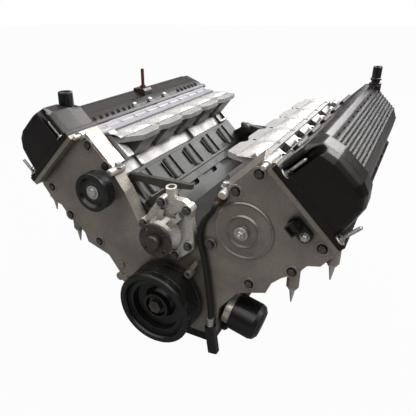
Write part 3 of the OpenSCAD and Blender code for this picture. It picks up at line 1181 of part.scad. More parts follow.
// Distance of the valley wall from the centre plane at a height
function valley_x(z) = z - bank_inner_w * sqrt(2) - clear;
module rear_housing() {
    color([0.64, 0.63, 0.6]) difference() {
        union() {
            along_y(block_rear - bell_flange_t - 14, block_rear - bell_flange_t - 0.1) polygon([[-66, 203], [-66, 224],
                [38, 206], [38, 186]]);
            rod_y(-50, 209, 14, block_rear - bell_flange_t - 24, block_rear - bell_flange_t - 0.1);
        }
        rod_y(-50, 209, 10, block_rear - bell_flange_t - 25, block_rear - bell_flange_t - 10);
    }
}
module rear_plug() {
    color([0.05, 0.05, 0.05]) turned(-50, 209) polygon([[0, block_rear - bell_flange_t - 30],
        [9, block_rear - bell_flange_t - 30], [11.5, block_rear - bell_flange_t - 28],
        [11.5, block_rear - bell_flange_t - 24.1], [9.9, block_rear - bell_flange_t - 24.1],
        [9.9, block_rear - bell_flange_t - 12], [0, block_rear - bell_flange_t - 12]]);
}

// Fasteners
module cover_stud_set(side) {
    on_bank(side) {
        for (w = cover_stud_w) translate([w, dome_front + 5, cover_h0 + cover_rail_t]) stud(6, 20, 40);
    }
}
module pointed_stud(side, p) {
    translate([side * p.x, case_front + 20, p.y]) {
        translate([0, 0, -10]) cylinder(r = 4.9, h = 22);
        translate([0, 0, -6]) hex_prism(14, 5.8);
        translate([0, 0, -34]) cylinder(r1 = 1.2, r2 = 4.9, h = 24.1);
    }
}
module studs() {
    color([0.75, 0.74, 0.7]) {
        for (side = SIDES) cover_stud_set(side);
        for (side = SIDES, p = foot_bosses) pointed_stud(side, p);
    }
}
module flange_bolts() {
    color([0.74, 0.74, 0.74]) {
        timing_cover_bolts();
        pump_bolts();
        cam_sensor_bolt();
        side_bolt_at();
        for (side = SIDES, y = cover_bolt_y) on_bank(side)
            translate([cover_bolt_w, y, cover_h0 + cover_rail_t]) bolt(6, 22);
    }
}
module core_plug_set() {
    core_plugs();
    rear_plug();
}
module bearings() {
    pump_bearing();
    idler_bearing();
}
module pan_fasteners() {
    pan_bolts();
    drain_plug();
}
block();
core_plug_set();  // core_plugs
main_caps();
main_cap_bolts();
main_bearings();
crankshaft();
for (side = SIDES) pistons(side);
piston_rings();
gudgeon_pins();
for (side = SIDES) rods(side);
head(-1);  // head_left
head(1);  // head_right
for (side = SIDES) head_gasket(side);  // head_gaskets
for (side = SIDES) valves(side);
for (side = SIDES) tappets(side);
camshaft(-1);  // camshaft_left
camshaft(1);  // camshaft_right
for (side = SIDES) cam_caps(side);
spark_plugs();
cam_cover(-1);  // cam_cover_left
cam_cover(1);  // cam_cover_right
for (side = SIDES) cover_gasket(side);  // cover_gaskets
studs();
timing_cover();
front_seal();
flange_bolts();
cam_sprocket(-1);  // cam_sprocket_left
cam_sprocket(1);  // cam_sprocket_right
for (side = SIDES) timing_chain(side);  // timing_chains
chain_guides();
crank_nose();
crank_sprockets();
damper_hub();
damper_rubber();
damper_pulley();
damper_bolt();
crank_flange();
idler_pulley();
bearings();
idler_bolt();
pump_housing();
pump_hub();
pump_impeller();
cam_sensor();
coolant_sensor();
sensor_lead();
lead_clip();
lead_connector();
filter_adapter();
oil_filter();
oil_pan();
pan_gasket();
pan_fasteners();
oil_pickup();
oil_cap();
breather();
lift_bracket();
lift_stud();
valley_bracket();
rear_housing();
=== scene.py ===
import math
import random

import bmesh
import bpy
from mathutils import Matrix, Vector


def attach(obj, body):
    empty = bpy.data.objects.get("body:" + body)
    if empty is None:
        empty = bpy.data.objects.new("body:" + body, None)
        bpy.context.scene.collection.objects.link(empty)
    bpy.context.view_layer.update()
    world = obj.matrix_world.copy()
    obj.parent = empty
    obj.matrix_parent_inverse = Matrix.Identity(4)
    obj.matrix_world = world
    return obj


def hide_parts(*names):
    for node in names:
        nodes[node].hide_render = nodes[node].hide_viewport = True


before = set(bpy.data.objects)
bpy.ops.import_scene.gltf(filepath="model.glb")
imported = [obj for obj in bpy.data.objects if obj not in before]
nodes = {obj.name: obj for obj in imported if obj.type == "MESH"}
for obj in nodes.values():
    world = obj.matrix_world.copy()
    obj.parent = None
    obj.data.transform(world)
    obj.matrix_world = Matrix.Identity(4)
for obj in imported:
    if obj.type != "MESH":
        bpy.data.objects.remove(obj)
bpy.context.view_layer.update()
mm = 0.001
print("frame loaded,", len(nodes), "nodes")

# Camera, at the place that the photograph was taken from, in metres, degrees and millimetres
cameraSet = {
    "place": (0.3854, -1.2176, 0.5386),
    "azimuth": 29.59,
    "elevation": 25.19,
    "roll": -1.03,
    "lens": 38.0,
    "sensor": 36,
    "shiftX": 0.0735,
    "shiftY": 0.0027,
    "nearest": 0.02,
    "furthest": 50,
}


def turnOf(azimuth, elevation, roll):
    a, e, r = (math.radians(v) for v in (azimuth, elevation, roll))
    ahead = Vector((-math.sin(a) * math.cos(e), math.cos(a) * math.cos(e), -math.sin(e)))
    right = Vector((math.cos(a), math.sin(a), 0))
    up = right.cross(ahead)
    tilted = right * math.cos(r) + up * math.sin(r)
    return Matrix((tilted, tilted.cross(ahead), -ahead)).transposed()


def addCamera(s):
    data = bpy.data.cameras.new("camera")
    data.sensor_fit = "HORIZONTAL"
    data.sensor_width = s["sensor"]
    data.lens = s["lens"]
    data.shift_x = s["shiftX"]
    data.shift_y = s["shiftY"]
    data.clip_start = s["nearest"]
    data.clip_end = s["furthest"]
    camera = bpy.data.objects.new("camera", data)
    camera.matrix_world = Matrix.Translation(s["place"]) @ turnOf(
        s["azimuth"], s["elevation"], s["roll"]).to_4x4()
    bpy.context.scene.collection.objects.link(camera)
    bpy.context.scene.camera = camera


addCamera(cameraSet)
bpy.context.scene.view_settings.view_transform = "Standard"


# Short ways to add shader nodes; an input is named, or in0, in1 and so on by its place
def put(tree, kind, props=None, **inputs):
    node = tree.nodes.new("ShaderNode" + kind)
    for key, value in (props or {}).items():
        setattr(node, key, value)
    for key, value in inputs.items():
        spot = node.inputs[int(key[2:])] if key.startswith("in") else node.inputs[key]
        if isinstance(value, bpy.types.NodeSocket):
            tree.links.new(value, spot)
        else:
            spot.default_value = value
    return node


def mathNode(tree, how, a, b):
    return put(tree, "Math", {"operation": how}, in0=a, in1=b).outputs[0]


# The Mix node's colours are its inputs 6 and 7, and its mixed colour is output 2
def mixColour(tree, share, a, b):
    node = put(tree, "Mix", {"data_type": "RGBA"}, in0=share)
    for spot, value in ((6, a), (7, b)):
        if isinstance(value, bpy.types.NodeSocket):
            tree.links.new(value, node.inputs[spot])
        else:
            node.inputs[spot].default_value = (*value, 1)
    return node.outputs[2]


def ramp(tree, value, low, high, toLow=0.0, toHigh=1.0):
    return put(tree, "MapRange", {"interpolation_type": "SMOOTHSTEP"},
               in0=value, in1=low, in2=high, in3=toLow, in4=toHigh).outputs[0]


def noise(tree, where, size, detail, rough, stretch=None):
    if stretch:
        where = put(tree, "Mapping", None, Vector=where, Scale=stretch).outputs[0]
    return put(tree, "TexNoise", None, Vector=where, Scale=1.0 / (size * mm), Detail=detail,
               Roughness=rough).outputs[0]


# What every finish starts from: colours, gloss, bumps, worn edges with painted edge highlights and painted shade
# in crevices, with sizes in millimetres
plainFinish = {
    "colour": (0.4, 0.4, 0.4), "patch": None, "patchSize": 60, "patchShare": 0.5,
    "metal": 0.0, "rough": 0.5, "roughSpread": 0.12, "coat": 0.0, "coatRough": 0.1, "specular": 0.5,
    "grain": 2.2, "grainHeight": 0.12, "swell": 18, "swellHeight": 0.25, "stretch": None,
    # Edge colour and share: partly worn edges and partly painted edge highlights
    "edge": 1.2, "edgeColour": None, "edgeShare": 0.5,
    # Crevice darkening is painted shade: its colour, how far ambient occlusion looks and how much it darkens
    "grime": None, "grimeReach": 14, "grimeShare": 0.7,
}
# How all finishes read their noises and shades: where each begins and ends to count, and for each noise
# its detail and roughness
shadeSet = {
    "patch": (0.38, 0.62), "patchDark": 0.72, "grain": (0.3, 0.7), "grainShare": 0.35, "grainDark": 0.8,
    "bend": (0.97, 0.86), "wear": (0.35, 0.6), "wearSize": 7, "closed": (0.95, 0.35),
    "gloss": (0.5, 1.0), "broadShare": 0.5, "samples": 6,
    "fineNoise": (2.0, 0.6), "broadNoise": (4.0, 0.6), "swellNoise": (2.0, 0.5), "wearNoise": (4.0, 0.7),
}
finishes = {}


def darker(colour, share):
    return tuple(v * share for v in colour)


def makeFinish(name, **chosen):
    s, shade = dict(plainFinish, **chosen), shadeSet
    mat = bpy.data.materials.new(name)
    mat.use_nodes = True
    tree = mat.node_tree
    shader = tree.nodes["Principled BSDF"]
    where = put(tree, "TexCoord").outputs["Object"]
    fine = noise(tree, where, s["grain"], *shade["fineNoise"], s["stretch"])
    broad = noise(tree, where, s["patchSize"], *shade["broadNoise"])
    swell = noise(tree, where, s["swell"], *shade["swellNoise"], s["stretch"])
    colour = mixColour(tree, ramp(tree, broad, *shade["patch"], 0, s["patchShare"]), s["colour"],
                       s["patch"] or darker(s["colour"], shade["patchDark"]))
    colour = mixColour(tree, ramp(tree, fine, *shade["grain"], 0, shade["grainShare"]), colour,
                       darker(s["colour"], shade["grainDark"]))
    rounded = put(tree, "Bevel", {"samples": shade["samples"]}, Radius=s["edge"] * mm).outputs[0]
    # Worn edges with painted edge highlights: the rounded corners lighten in patches towards the edge colour,
    # partly rubbed metal and partly painted glint
    if s["edgeColour"]:
        flat = put(tree, "NewGeometry").outputs["Normal"]
        meet = put(tree, "VectorMath", {"operation": "DOT_PRODUCT"}, in0=rounded, in1=flat).outputs["Value"]
        patchy = noise(tree, where, shade["wearSize"], *shade["wearNoise"])
        edgeWearAndGlint = mathNode(tree, "MULTIPLY", ramp(tree, meet, *shade["bend"]),
                        ramp(tree, patchy, *shade["wear"], 0, s["edgeShare"]))
        colour = mixColour(tree, edgeWearAndGlint, colour, s["edgeColour"])
    # Painted shade: the colour darkens towards a near-black in crevices, recesses and gaps between parts, wherever
    # ambient occlusion finds the spot closed in
    if s["grime"]:
        closed = put(tree, "AmbientOcclusion", {"samples": shade["samples"]},
                     Distance=s["grimeReach"] * mm).outputs["AO"]
        colour = mixColour(tree, ramp(tree, closed, *shade["closed"], 0, s["grimeShare"]), colour,
                           s["grime"])
    tree.links.new(colour, shader.inputs["Base Color"])
    mottle = mathNode(tree, "ADD", fine, mathNode(tree, "MULTIPLY", broad, shade["broadShare"]))
    rough = ramp(tree, mottle, *shade["gloss"], s["rough"] - s["roughSpread"], s["rough"] + s["roughSpread"])
    tree.links.new(rough, shader.inputs["Roughness"])
    shader.inputs["Metallic"].default_value = s["metal"]
    shader.inputs["Specular IOR Level"].default_value = s["specular"]
    shader.inputs["Coat Weight"].default_value = s["coat"]
    shader.inputs["Coat Roughness"].default_value = s["coatRough"]
    bump = put(tree, "Bump", None, Distance=s["swellHeight"] * mm, Height=swell, Normal=rounded)
    bump = put(tree, "Bump", None, Distance=s["grainHeight"] * mm, Height=fine, Normal=bump.outputs[0])
    tree.links.new(bump.outputs[0], shader.inputs["Normal"])
    finishes[name] = mat
    return mat


def dress(names, mat):
    for name in names:
        slots = nodes[name].data.materials
        slots.clear()
        slots.append(mat)


# Each finish with the nodes dressed in it: castings, black paint, rubber and plastic, then steel and small parts;
# the crevice colours are painted shade, and the edge colours are partly wear and partly painted highlight
dress(["timing_cover"], makeFinish(
    "caseAlloy", colour=(0.475, 0.425, 0.372), patch=(0.3, 0.268, 0.232), patchSize=95, patchShare=0.8, metal=0.65,
    rough=0.36, grain=2.4, grainHeight=0.12, edgeColour=(0.85, 0.82, 0.77), edgeShare=0.8,
    grime=(0.045, 0.04, 0.036)))
dress(["head_left", "head_right"], makeFinish(
    "headAlloy", colour=(0.64, 0.62, 0.62), patch=(0.42, 0.395, 0.39), patchSize=45, patchShare=0.85, metal=0.55,
    rough=0.38, grain=2.6, grainHeight=0.3, swell=11, swellHeight=0.5, edgeColour=(0.92, 0.9, 0.86),
    edgeShare=0.8, grime=(0.05, 0.045, 0.042), grimeReach=26, grimeShare=0.85))
makeFinish("bandAlloy", colour=(0.52, 0.51, 0.56), patch=(0.36, 0.35, 0.38), patchSize=20, metal=0.4, rough=0.34,
           grain=3, grainHeight=0.1, stretch=(1.0, 0.08, 1.0), edgeColour=(0.75, 0.74, 0.72),
           grime=(0.06, 0.055, 0.05))
dress(["pump_housing", "filter_adapter", "cam_caps"], makeFinish(
    "pumpAlloy", colour=(0.9, 0.87, 0.79), patch=(0.5, 0.47, 0.41), patchSize=30, patchShare=0.35, metal=0.55,
    rough=0.26, grain=1.6, grainHeight=0.08, edgeColour=(0.95, 0.93, 0.88), edgeShare=0.25,
    grime=(0.05, 0.045, 0.04)))
dress(["block", "main_caps", "core_plugs"], makeFinish(
    "blockIron", colour=(0.018, 0.019, 0.017), patch=(0.035, 0.036, 0.03), metal=0.1, rough=0.4, coat=0.15,
    grain=2.8, grainHeight=0.3, edgeColour=(0.16, 0.16, 0.14), edgeShare=0.7, grime=(0.006, 0.006, 0.006)))
dress(["valley_bracket", "rear_housing"], makeFinish(
    "bracketSteel", colour=(0.1, 0.098, 0.085), patch=(0.06, 0.058, 0.05), patchSize=25, metal=0.4, rough=0.42,
    grain=2.2, grainHeight=0.14, edgeColour=(0.5, 0.49, 0.45), grime=(0.02, 0.02, 0.018)))
dress(["cam_cover_left", "cam_cover_right"], makeFinish(
    "coverBlack", colour=(0.01, 0.0062, 0.0062), patch=(0.019, 0.012, 0.0105), rough=0.33, coat=0.35,
    coatRough=0.2, specular=0.3, grain=1.6, grainHeight=0.1, edge=6.5, grime=(0.003, 0.003, 0.003)))
dress(["damper_pulley", "damper_hub", "oil_pan", "oil_filter"], makeFinish(
    "blackPaint", colour=(0.006, 0.0055, 0.0055), patch=(0.011, 0.01, 0.0095), rough=0.3, coat=0.3, coatRough=0.15,
    grain=1.5, grainHeight=0.06, edgeColour=(0.05, 0.05, 0.05), grime=(0.003, 0.003, 0.003)))
dress(["damper_rubber", "front_seal", "cover_gaskets", "pan_gasket"], makeFinish(
    "rubberBlack", colour=(0.012, 0.012, 0.012), rough=0.75, grain=1.0, grainHeight=0.08))
dress(["idler_pulley", "cam_sensor", "oil_cap", "breather", "lead_connector"], makeFinish(
    "plasticBlack", colour=(0.008, 0.0075, 0.008), patch=(0.013, 0.012, 0.012), rough=0.26, coat=0.4, grain=1.0,
    grainHeight=0.03, edgeColour=(0.05, 0.05, 0.05)))
dress(["crankshaft", "crank_nose", "crank_flange", "crank_sprockets", "camshaft_left", "camshaft_right",
       "rods", "valves", "main_cap_bolts", "head_gaskets", "oil_pickup", "pan_fasteners"],
      makeFinish("machinedSteel", colour=(0.42, 0.41, 0.4), patch=(0.33, 0.32, 0.31), metal=0.95, rough=0.3,
                 grain=0.9, grainHeight=0.05, edge=0.6, grime=(0.08, 0.075, 0.07)))
dress(["cam_sprocket_left", "cam_sprocket_right", "timing_chains", "piston_rings", "pump_impeller",
       "lift_bracket"], makeFinish(
    "darkSteel", colour=(0.13, 0.12, 0.115), patch=(0.08, 0.075, 0.07), metal=0.7, rough=0.36, grain=0.9,
    grainHeight=0.05, edge=0.5, edgeColour=(0.4, 0.38, 0.35), grime=(0.02, 0.02, 0.02)))
dress(["pump_hub", "damper_bolt", "bearings"], makeFinish(
    "wornSteel", colour=(0.16, 0.14, 0.125), patch=(0.07, 0.058, 0.05), patchSize=14, metal=0.8, rough=0.4,
    grain=1.2, grainHeight=0.08, edge=0.6, edgeColour=(0.5, 0.48, 0.45), grime=(0.02, 0.018, 0.016)))
dress(["flange_bolts"], makeFinish(
    "boltSteel", colour=(0.2, 0.19, 0.18), patch=(0.1, 0.095, 0.09), patchSize=9, metal=0.85, rough=0.32,
    grain=1.0, grainHeight=0.06, edge=0.5, edgeColour=(0.7, 0.68, 0.65), grime=(0.02, 0.02, 0.018),
    grimeReach=6))
dress(["studs", "lead_clip", "idler_bolt", "main_bearings", "gudgeon_pins", "tappets"],
      makeFinish("zincBright", colour=(0.82, 0.81, 0.78), patch=(0.5, 0.49, 0.47), patchSize=8, metal=0.65,
                 rough=0.26, grain=1.0, grainHeight=0.04, edge=0.5, grime=(0.1, 0.095, 0.09)))
dress(["pistons"], makeFinish(
    "pistonAlloy", colour=(0.55, 0.54, 0.52), metal=0.9, rough=0.35, grain=0.8, grainHeight=0.04, edge=0.5,
    stretch=(0.2, 0.2, 1.0)))
dress(["spark_plugs"], makeFinish(
    "glazedWhite", colour=(0.8, 0.79, 0.74), rough=0.18, roughSpread=0.05, grain=3, grainHeight=0.02, edge=0.6))
dress(["coolant_sensor"], makeFinish(
    "dullBrass", colour=(0.25, 0.13, 0.055), patch=(0.13, 0.07, 0.035), patchSize=10, metal=0.8, rough=0.38,
    grain=1.2, grainHeight=0.06, edge=0.5, edgeColour=(0.5, 0.35, 0.18), grime=(0.04, 0.025, 0.012)))
dress(["lift_stud"], makeFinish(
    "redPaint", colour=(0.13, 0.022, 0.014), patch=(0.05, 0.014, 0.01), patchSize=6, rough=0.55, grain=1.0,
    grainHeight=0.12, edge=0.4, edgeColour=(0.26, 0.18, 0.14)))
dress(["chain_guides"], makeFinish(
    "guidePlastic", colour=(0.45, 0.37, 0.2), patch=(0.38, 0.3, 0.16), rough=0.4, grain=1.4, grainHeight=0.05))
print("finishes made,", len(finishes))

# Faces along the engine that the pieces below are placed from, in millimetres
caseFront, coverFront, blockFront, blockRear = -581.2, -605.2, -548.0, -14.0

# The sensor's lead, through the same points as in the part's source: x, distance out from the case, and z
leadSet = {
    "radius": 5.0, "steps": 6, "bevelSteps": 4,
    "points": [(112, 17.6, 232), (111.7, 23, 231.4), (108.5, 25, 225), (102, 16, 214), (92, 7, 202),
               (80, 7, 184), (74, 7, 160), (75, 7, 138), (84, 7, 100), (92, 8, 50), (97, 9, 10), (99, 9.5, -20)],
}


# A smooth line that passes through every point
def leadPath(s):
    points = [Vector((x, caseFront - out, z)) for x, out, z in s["points"]]
    last = len(points) - 1
    path = []
    for i in range(last):
        a, b = points[max(i - 1, 0)], points[i]
        c, d = points[i + 1], points[min(i + 2, last)]
        for j in range(s["steps"]):
            t = j / s["steps"]
            path.append(0.5 * (2 * b + (c - a) * t + (2 * a - 5 * b + 4 * c - d) * t * t
                               + (3 * b - a - 3 * c + d) * t * t * t))
    return [p * mm for p in path + [points[last]]]


def curveThrough(name, path, radius, bevelSteps):
    data = bpy.data.curves.new(name, "CURVE")
    data.dimensions = "3D"
    data.bevel_depth = radius
    data.bevel_resolution = bevelSteps
    data.use_fill_caps = True
    line = data.splines.new("POLY")
    line.points.add(len(path) - 1)
    for point, place in zip(line.points, path):
        point.co = (*place, 1)
    piece = bpy.data.objects.new(name, data)
    bpy.context.scene.collection.objects.link(piece)
    return piece


route = leadPath(leadSet)
lead = curveThrough("sensorLead", route, leadSet["radius"] * mm, leadSet["bevelSteps"])
lead.data.materials.append(makeFinish(
    "leadSleeve", colour=(0.018, 0.018, 0.018), patch=(0.028, 0.028, 0.027), patchSize=9, rough=0.6, grain=1.2,
    grainHeight=0.2, edge=0.3))
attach(lead, "long_block")
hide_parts("sensor_lead")
print("lead laid")


# A place in a bank's own frame: side -1 is the left bank, w runs across it and h along its bores
def bankPoint(side, w, h, y):
    c = math.sqrt(0.5)
    return Vector((side * (h + w) * c, y, (h - w) * c)) * mm


def bankUp(side):
    return bankPoint(side, 0, 1, 0).normalized()


def addPrism(work, base, shift):
    low = [work.verts.new(p) for p in base]
    high = [work.verts.new(p + shift) for p in base]
    work.faces.new(low)
    work.faces.new(high)
    for i, corner in enumerate(low):
        j = (i + 1) % len(low)
        work.faces.new((corner, low[j], high[j], high[i]))


# A closed section in w and h, drawn along the engine
def alongEngine(work, side, section, y0, y1):
    addPrism(work, [bankPoint(side, w, h, y0) for w, h in section], Vector((0, (y1 - y0) * mm, 0)))


def addBlock(work, side, w0, w1, h0, h1, y0, y1):
    alongEngine(work, side, [(w0, h0), (w1, h0), (w1, h1), (w0, h1)], y0, y1)


# A turned form: its profile gives distance along the axis and radius
def addTurned(work, start, axis, profile, steps=28):
    axis = axis.normalized()
    across = axis.orthogonal().normalized()
    beside = axis.cross(across)
    rings = []
    for reach, radius in profile:
        middle = start + axis * reach * mm
        turns = [math.tau * i / steps for i in range(steps)]
        rings.append([work.verts.new(middle + (across * math.cos(a) + beside * math.sin(a)) * radius * mm)
                      for a in turns])
    work.faces.new(rings[0])
    work.faces.new(rings[-1])
    for one, two in zip(rings, rings[1:]):
        for i in range(steps):
            j = (i + 1) % steps
            work.faces.new((one[i], one[j], two[j], two[i]))


# A washer with a six-sided head on it
def addBolt(work, start, out, s):
    addTurned(work, start, out, s["washer"])
    addTurned(work, start + out * s["seat"] * mm, out, s["head"], 6)


# Angle above which the trim's edges stay sharp in shading and are rounded by the bevel
sharpFrom = math.radians(32)


# A named piece from its mesh; edge is how wide its corners are rounded, or 0 to leave them
def pieceOf(name, work, finish, edge):
    bmesh.ops.recalc_face_normals(work, faces=work.faces)
    mesh = bpy.data.meshes.new(name)
    work.to_mesh(mesh)
    work.free()
    mesh.shade_smooth()
    mesh.set_sharp_from_angle(angle=sharpFrom)
    mesh.materials.append(finishes[finish])
    piece = bpy.data.objects.new(name, mesh)
    bpy.context.scene.collection.objects.link(piece)
    if edge:
        bevel = piece.modifiers.new("edge", "BEVEL")
        bevel.width = edge * mm
        bevel.segments = 2
        bevel.limit_method = "ANGLE"
        bevel.angle_limit = sharpFrom
    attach(piece, "long_block")


def sideName(side):
    return "Right" if side > 0 else "Left"


wallSet = {
    "pitch": 100, "firstY": {-1: -472, 1: -496}, "ends": (26, 8), "clear": 12,
    "face": -71.4, "root": -66, "low": 152, "high": 235, "ledge": (171, 178), "ledgeOut": 4,
    "slotY": 51, "slotHalf": 5, "slotH": (189, 224), "lip": 2.5, "lipOver": 4,
    "columnY": 72, "columnR": 10.5, "columnSunk": 2, "columnTop": ((9, 0.86), (3, 0.6)), "columnSteps": 20,
    "ridgeY": 101, "ridgeOut": 4, "ridgeHalf": 1.6, "ridgeClear": 5, "edge": 0.8,
}


# Iron wall of the valley: panels with a slot, a half-round column and a thin ridge to each cylinder
def addValleyWall(side, s):
    work = bmesh.new()
    face, root, low, high = s["face"], s["root"], s["low"], s["high"]
    slotLow, slotHigh = s["slotH"]
    ledgeTop = s["ledge"][1]
    first, last = blockFront + s["ends"][0], blockRear - s["ends"][1]
    cells = [s["firstY"][side] + k * s["pitch"] for k in range(-1, 6)]
    done = first
    for cell in cells:
        y = cell + s["slotY"]
        if first + s["clear"] < y < last - s["clear"]:
            y0, y1 = y - s["slotHalf"], y + s["slotHalf"]
            addBlock(work, side, face, root, low, high, done, y0)
            addBlock(work, side, face, root, low, slotLow, y0, y1)
            addBlock(work, side, face, root, slotHigh, high, y0, y1)
            addBlock(work, side, face - s["lip"], root, slotLow - s["lipOver"], slotHigh + s["lipOver"],
                     y1, y1 + s["lip"])
            done = y1
    addBlock(work, side, face, root, low, high, done, last)
    addBlock(work, side, face - s["ledgeOut"], root, *s["ledge"], first, last)
    column = [(0, s["columnR"])] + [(high - ledgeTop - below, s["columnR"] * share)
                                    for below, share in s["columnTop"]]
    for cell in cells:
        y = cell + s["columnY"]
        if first + s["clear"] < y < last - s["clear"]:
            addTurned(work, bankPoint(side, face + s["columnSunk"], ledgeTop, y), bankUp(side), column,
                      s["columnSteps"])
        y = cell + s["ridgeY"]
        if first + s["ridgeClear"] < y < last - s["ridgeClear"]:
            addBlock(work, side, face - s["ridgeOut"], root, ledgeTop, high, y - s["ridgeHalf"],
                     y + s["ridgeHalf"])
    pieceOf("valleyWall" + sideName(side), work, "blockIron", s["edge"])


for side in (-1, 1):
    addValleyWall(side, wallSet)

# Sections in w and h; the blocks give w, lowest and highest h, and y from the case's front
headSet = {
    "band": [(-77.6, 361.6), (-79.4, 356.5), (-83.6, 350.8), (-83.2, 349.0), (-86.4, 346.0), (-97, 333),
             (-93, 329.5), (-72, 329.5), (-72, 361.6)],
    "bandEnds": (1.2, 5), "seam": [(-80, 357.4), (-82, 354.6), (-90, 343.2), (-88.6, 341)],
    "seams": 10, "seamFirst": 46, "seamPitch": 52, "seamLong": 1.6,
    "root": -72, "rib": (-82, 243, 272, 335.5, 344.5),
    "rim": [(-80, 243, 268, 505, 510), (-80, 243, 268, 545, 550), (-80, 243, 248, 505, 550)],
    "lug": (-79, 244, 268, 100, 112),
    "corner": [(-90, 35), (-103, 35), (-111.5, 39), (-111.5, 60), (-90, 60)], "cornerFrom": 262, "cornerHigh": 66,
    "edge": 0.7, "cornerEdge": 1.0,
}


# Smooth band beside the left cover's rail, a rib, rim and lug on the wall below it, and the front corners
def addHeadTrim(s):
    work = bmesh.new()
    alongEngine(work, -1, s["band"], blockFront + s["bandEnds"][0], blockRear - s["bandEnds"][1])
    for k in range(s["seams"]):
        y = blockFront + s["seamFirst"] + k * s["seamPitch"]
        alongEngine(work, -1, s["seam"], y, y + s["seamLong"])
    pieceOf("headBandLeft", work, "bandAlloy", s["edge"])
    work = bmesh.new()
    for w, h0, h1, y0, y1 in [s["rib"], *s["rim"], s["lug"]]:
        addBlock(work, -1, w, s["root"], h0, h1, caseFront + y0, caseFront + y1)
    pieceOf("headTrimLeft", work, "headAlloy", s["edge"])
    for side in (-1, 1):
        work = bmesh.new()
        base = [bankPoint(side, w, s["cornerFrom"], caseFront + y) for w, y in s["corner"]]
        addPrism(work, base, bankPoint(side, 0, s["cornerHigh"], 0))
        pieceOf("headCorner" + sideName(side), work, "headAlloy", s["cornerEdge"])


addHeadTrim(headSet)

bossSet = {
    "upper": (-84.5, 350), "upperForm": [(-22, 3.6), (-21, 4.4), (-5, 4.4), (-4.5, 7.2), (-1, 8.6), (38, 9.0),
                                         (40, 7.6), (47, 7.2)],
    "lower": (-89.5, 256), "lowerForm": [(-14, 6.0), (-12.5, 7.6), (2, 8.4), (30, 8.8), (33, 7.0)],
    "threads": 6, "threadFrom": -20, "threadPitch": 2.3, "thread": [(0, 4.4), (0.6, 4.9), (1.2, 4.4)],
    "threadSteps": 20, "boltAt": (-96.5, 258, 14),
    "bolt": {"washer": [(0, 9.5), (2, 9.5)], "seat": 2, "head": [(0, 6.6), (6.5, 6.6), (7.2, 5.4)]},
    "edge": 0.6, "boltEdge": 0.4,
}


# Round bosses that join the timing cover's upper corners to the heads
def addCornerBosses(s):
    work = bmesh.new()
    along = Vector((0, 1, 0))
    for side in (-1, 1):
        for spot, form in ((s["upper"], s["upperForm"]), (s["lower"], s["lowerForm"])):
            addTurned(work, bankPoint(side, *spot, caseFront), along, form)
        for k in range(s["threads"]):
            y = caseFront + s["threadFrom"] + s["threadPitch"] * k
            addTurned(work, bankPoint(side, *s["upper"], y), along, s["thread"], s["threadSteps"])
    pieceOf("cornerBosses", work, "pumpAlloy", s["edge"])
    work = bmesh.new()
    w, h, y = s["boltAt"]
    for side in (-1, 1):
        addBolt(work, bankPoint(side, w, h, caseFront + y), Vector((0, 0, 1)), s["bolt"])
    pieceOf("cornerBolts", work, "zincBright", s["boltEdge"])


addCornerBosses(bossSet)

ringSet = {
    "place": (-18.7, 237.3, -13.6), "tip": [(0, 3.6), (4, 3.6), (4.8, 2.6)], "tipFrom": 7, "tipSteps": 20,
    "bolt": {"washer": [(0, 12.5), (1.6, 12.5), (2.4, 11.6)], "seat": 2,
             "head": [(0, 8.2), (5.6, 8.2), (6.6, 6.6)]},
    "edge": 0.4,
}


# Sealing nut on a bright washer in the middle of the timing cover's round boss
def addRingNut(s):
    work = bmesh.new()
    w, h, y = s["place"]
    start, out = bankPoint(1, w, h, caseFront + y), Vector((0, -1, 0))
    addBolt(work, start, out, s["bolt"])
    addTurned(work, start + out * s["tipFrom"] * mm, out, s["tip"], s["tipSteps"])
    pieceOf("ringNut", work, "zincBright", s["edge"])


addRingNut(ringSet)

studSet = {
    "sensorBolt": (43, 323.2, -6),
    "bolt": {"washer": [(-0.2, 8.2), (1.4, 8.2)], "seat": 1.2, "head": [(0, 6.4), (5, 6.4), (6, 5.2)]},
    "studs": (-57, 70), "railTop": 372.4, "studY": 5, "washer": [(-0.3, 9.4), (1.2, 9.4), (1.8, 8.4)],
    "threads": 10, "threadTop": 37, "threadPitch": 2.2, "thread": [(-0.6, 3.0), (0, 3.45), (0.6, 3.0)],
    "threadSteps": 18,
}


# Bright bolt of the cam sensor, with washers and threads on the covers' front studs
def addStudTrim(s):
    work = bmesh.new()
    w, h, y = s["sensorBolt"]
    addBolt(work, bankPoint(1, w, h, caseFront + y), Vector((0, -1, 0)), s["bolt"])
    for side in (-1, 1):
        up = bankUp(side)
        for w in s["studs"]:
            foot = bankPoint(side, w, s["railTop"], coverFront + s["studY"])
            addTurned(work, foot, up, s["washer"])
            for k in range(s["threads"]):
                ring = foot + up * (s["threadTop"] - k * s["threadPitch"]) * mm
                addTurned(work, ring, up, s["thread"], s["threadSteps"])
    pieceOf("studTrim", work, "zincBright", 0)


addStudTrim(studSet)

# The combs give where a row of teeth starts and ends, from the block's front
coverSet = {
    "fill": [(-77.5, 363.7), (-77.5, 372.9), (-72.9, 373.2), (-71.2, 383.3), (-64.4, 400), (-60, 400),
             (-60, 363.7)],
    "fillEnds": (36, 12), "tooth": [(-77.2, 372.6), (-76.6, 378), (-72.2, 386), (-70, 380), (-71, 372.6)],
    "combs": ((44, 190), (404, 530)), "toothPitch": 21, "toothLong": 7,
    "boltsAt": (-352, -284, -214), "pad": (-77.2, -68, 372.6, 380), "padHalf": 13, "boltW": -72.8,
    "bolt": {"washer": [(-0.5, 6.5), (1.4, 6.5)], "seat": 1.4, "head": [(0, 5), (4, 5), (4.8, 4)]},
    "pinRows": ((-48, 70), (-30, 80), (-6, 80), (12, 70)), "pins": 9, "pinPitch": 46, "crest": 431.0,
    "pin": [(0, 1.7), (2.4, 1.7), (3, 1.02)], "pinSteps": 12,
    "beads": ((376.5, 0.4), (382, 0.0)), "beadW": (-58, 66), "beadHigh": 1.6, "beadRoot": 2.2,
    "edge": 0.5, "boltEdge": 0.3, "pinEdge": 0.2, "beadEdge": 0.3,
}


